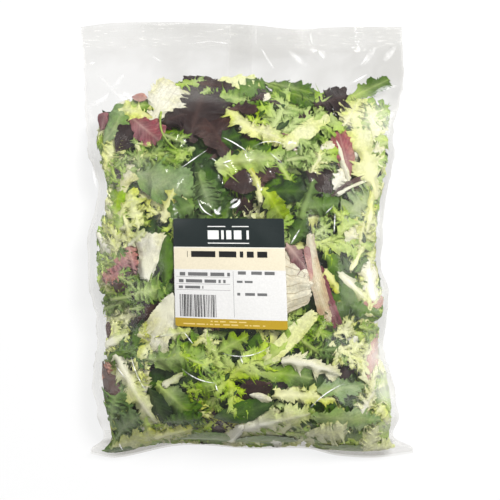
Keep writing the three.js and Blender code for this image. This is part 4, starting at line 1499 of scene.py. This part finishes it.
def sticker_material():
    material, tree = new_material("sticker")
    parts = separated(tree, attribute(tree, "spot", "Vector"))
    u, v = parts["X"], parts["Y"]
    colour = BANDS[-1][1]
    for end, band in reversed(BANDS[:-1]):
        colour = blend(tree, calc(tree, "LESS_THAN", v, end), colour, band)
    for left, top, right, bottom, shade, dashes in MARKS:
        mask = box_mask(tree, u, v, left, top, right, bottom)
        if dashes:
            printed = calc(tree, "GREATER_THAN", cell_chance(tree, times(tree, u, dashes * 2)), GAP_CHANCE)
            mask = times(tree, mask, printed)
        colour = blend(tree, mask, colour, shade)
    place = times(tree, u, STRIPE_COUNT)
    stripe_width = smooth_step(tree, cell_chance(tree, place), 0.0, 1.0, 0.3, 0.8)
    inked = calc(tree, "LESS_THAN", calc(tree, "FRACT", place), stripe_width)
    stripe = times(tree, box_mask(tree, u, v, *STRIPES), inked)
    colour = blend(tree, stripe, colour, DARK)
    fibre = smooth_step(tree, grain(tree, 700, 3), 0.3, 0.7, 0.95, 1.02)
    colour = dimmed(tree, colour, fibre)
    bump = bumped(tree, 0.15, 0.0005, grain(tree, 300, 3))
    gloss = smooth_step(tree, grain(tree, 60, 2), 0.3, 0.7, 0.28, 0.38)
    surface = node(tree, "ShaderNodeBsdfPrincipled", {
        "Base Color": colour, "Roughness": gloss, "Normal": bump, "Specular IOR Level": 0.3,
    })
    finish_tree(tree, surface.outputs[0])
    return material


def rounded(share, size):
    """Even steps over a side, closer together over the rounding of its corners."""
    corner = STICKER_ROUNDING / size
    return np.concatenate([
        np.linspace(0, corner, CORNER_STEPS), np.linspace(corner, 1 - corner, share)[1:-1],
        np.linspace(1 - corner, 1, CORNER_STEPS),
    ])


def round_corners(s, t, width, height):
    """Pulls the corners of a sheet in onto quarter circles."""
    dx = np.maximum(STICKER_ROUNDING - np.minimum(s, 1 - s) * width, 0) / STICKER_ROUNDING
    dy = np.maximum(STICKER_ROUNDING - np.minimum(t, 1 - t) * height, 0) / STICKER_ROUNDING
    pull = np.maximum(dx, dy) / np.maximum(np.hypot(dx, dy), 1e-9)
    pull = np.where((dx > 0) & (dy > 0), pull, 1)
    s = s + np.sign(0.5 - s) * dx * (1 - pull) * STICKER_ROUNDING / width
    t = t + np.sign(0.5 - t) * dy * (1 - pull) * STICKER_ROUNDING / height
    return s, t


def make_sticker():
    s, t = np.meshgrid(rounded(44, LABEL_WIDTH), rounded(44, LABEL_HEIGHT))
    s, t = round_corners(s, t, LABEL_WIDTH, LABEL_HEIGHT)
    corners = np.array([[on_front(*pixel) for pixel in row] for row in STICKER_CORNERS])
    upper = mix(corners[0, 0], corners[0, 1], s[..., None])
    lower = mix(corners[1, 0], corners[1, 1], s[..., None])
    place = mix(upper, lower, t[..., None])
    x, y = place[..., 0], place[..., 1]
    height = film_top(x, y) + 0.2
    top = np.stack([x, y, height + STICKER_THICKNESS], -1)
    low = np.stack([x, y, height], -1)
    points, quads = closed_sheets(top[:, ::-1], low[:, ::-1])
    spot = np.stack([s, t, 0 * s], -1)[:, ::-1].reshape(-1, 3)
    sticker = add_mesh("sticker", points, quads, sticker_material(), {"spot": np.concatenate([spot, spot])})
    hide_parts("label")
    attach(sticker, "root")


# The studio

def to_scene(x, y, z):
    return Vector((np.array([x, y, z]) + SHIFT) * METRE)


def make_floor():
    size = 4000
    corners = np.array([[-size, -size, 0], [size, -size, 0], [size, size, 0], [-size, size, 0]], float)
    material, tree = new_material("floor")
    colour = ramp(tree, grain(tree, 3, 2), [(0.3, (0.12, 0.12, 0.12)), (0.7, (0.13, 0.13, 0.13))])
    surface = node(tree, "ShaderNodeBsdfPrincipled", {
        "Base Color": colour, "Roughness": 0.9, "Emission Color": (1, 1, 1, 1), "Emission Strength": 0.8,
    })
    finish_tree(tree, surface.outputs[0])
    add_mesh("floor", corners, np.array([[0, 1, 2, 3]]), material)


def add_light(name, place, width, height, power, shows_in_gloss=True, lights_matt=True, aim=(0, -10, 30)):
    data = bpy.data.lights.new(name, "AREA")
    data.shape = "RECTANGLE"
    data.size, data.size_y = width * METRE, height * METRE
    data.energy = power
    lamp = bpy.data.objects.new(name, data)
    lamp.location = to_scene(*place)
    lamp.rotation_mode = "QUATERNION"
    lamp.rotation_quaternion = (to_scene(*aim) - lamp.location).to_track_quat("-Z", "Y")
    lamp.visible_glossy = shows_in_gloss
    lamp.visible_diffuse = lights_matt
    bpy.context.scene.collection.objects.link(lamp)


def make_studio():
    make_floor()
    world = bpy.data.worlds.new("soft_white")
    world.use_nodes = True
    tree = world.node_tree
    seen = node(tree, "ShaderNodeLightPath").outputs["Is Camera Ray"]
    strength = plus(tree, times(tree, seen, 0.82), 0.18)
    background = tree.nodes["Background"]
    background.inputs["Color"].default_value = (1, 1, 1, 1)
    tree.links.new(strength, background.inputs["Strength"])
    bpy.context.scene.world = world
    add_light("key", (560, 600, 1200), 380, 380, 32, shows_in_gloss=False)
    add_light("fill", (-300, -300, 1500), 1600, 1600, 11, shows_in_gloss=False)
    add_light("right_card", (1000, 0, 420), 700, 1200, 8, lights_matt=False)
    add_light("left_card", (-1000, 100, 420), 700, 1200, 5, lights_matt=False)
    add_light("spark", (260, 420, 1100), 40, 40, 0.8)
    add_light("left_spark", (-420, 380, 1000), 40, 40, 0.8)


def make_camera():
    data = bpy.data.cameras.new("camera")
    data.sensor_width = 36
    data.lens = data.sensor_width * (CAMERA_HEIGHT - SEAL_PLANE) / (PHOTO_SIZE * PIXEL)
    data.clip_end = 20
    camera = bpy.data.objects.new("camera", data)
    camera.location = to_scene(*PHOTO_MIDDLE, CAMERA_HEIGHT)
    bpy.context.scene.collection.objects.link(camera)
    bpy.context.scene.camera = camera


make_camera()
make_studio()
make_film()
make_back_seam()
make_creases()
make_droplets()
make_leaves()
make_sticker()
bpy.context.scene.view_settings.view_transform = "Standard"
bpy.context.scene.cycles.transparent_max_bounces = 24
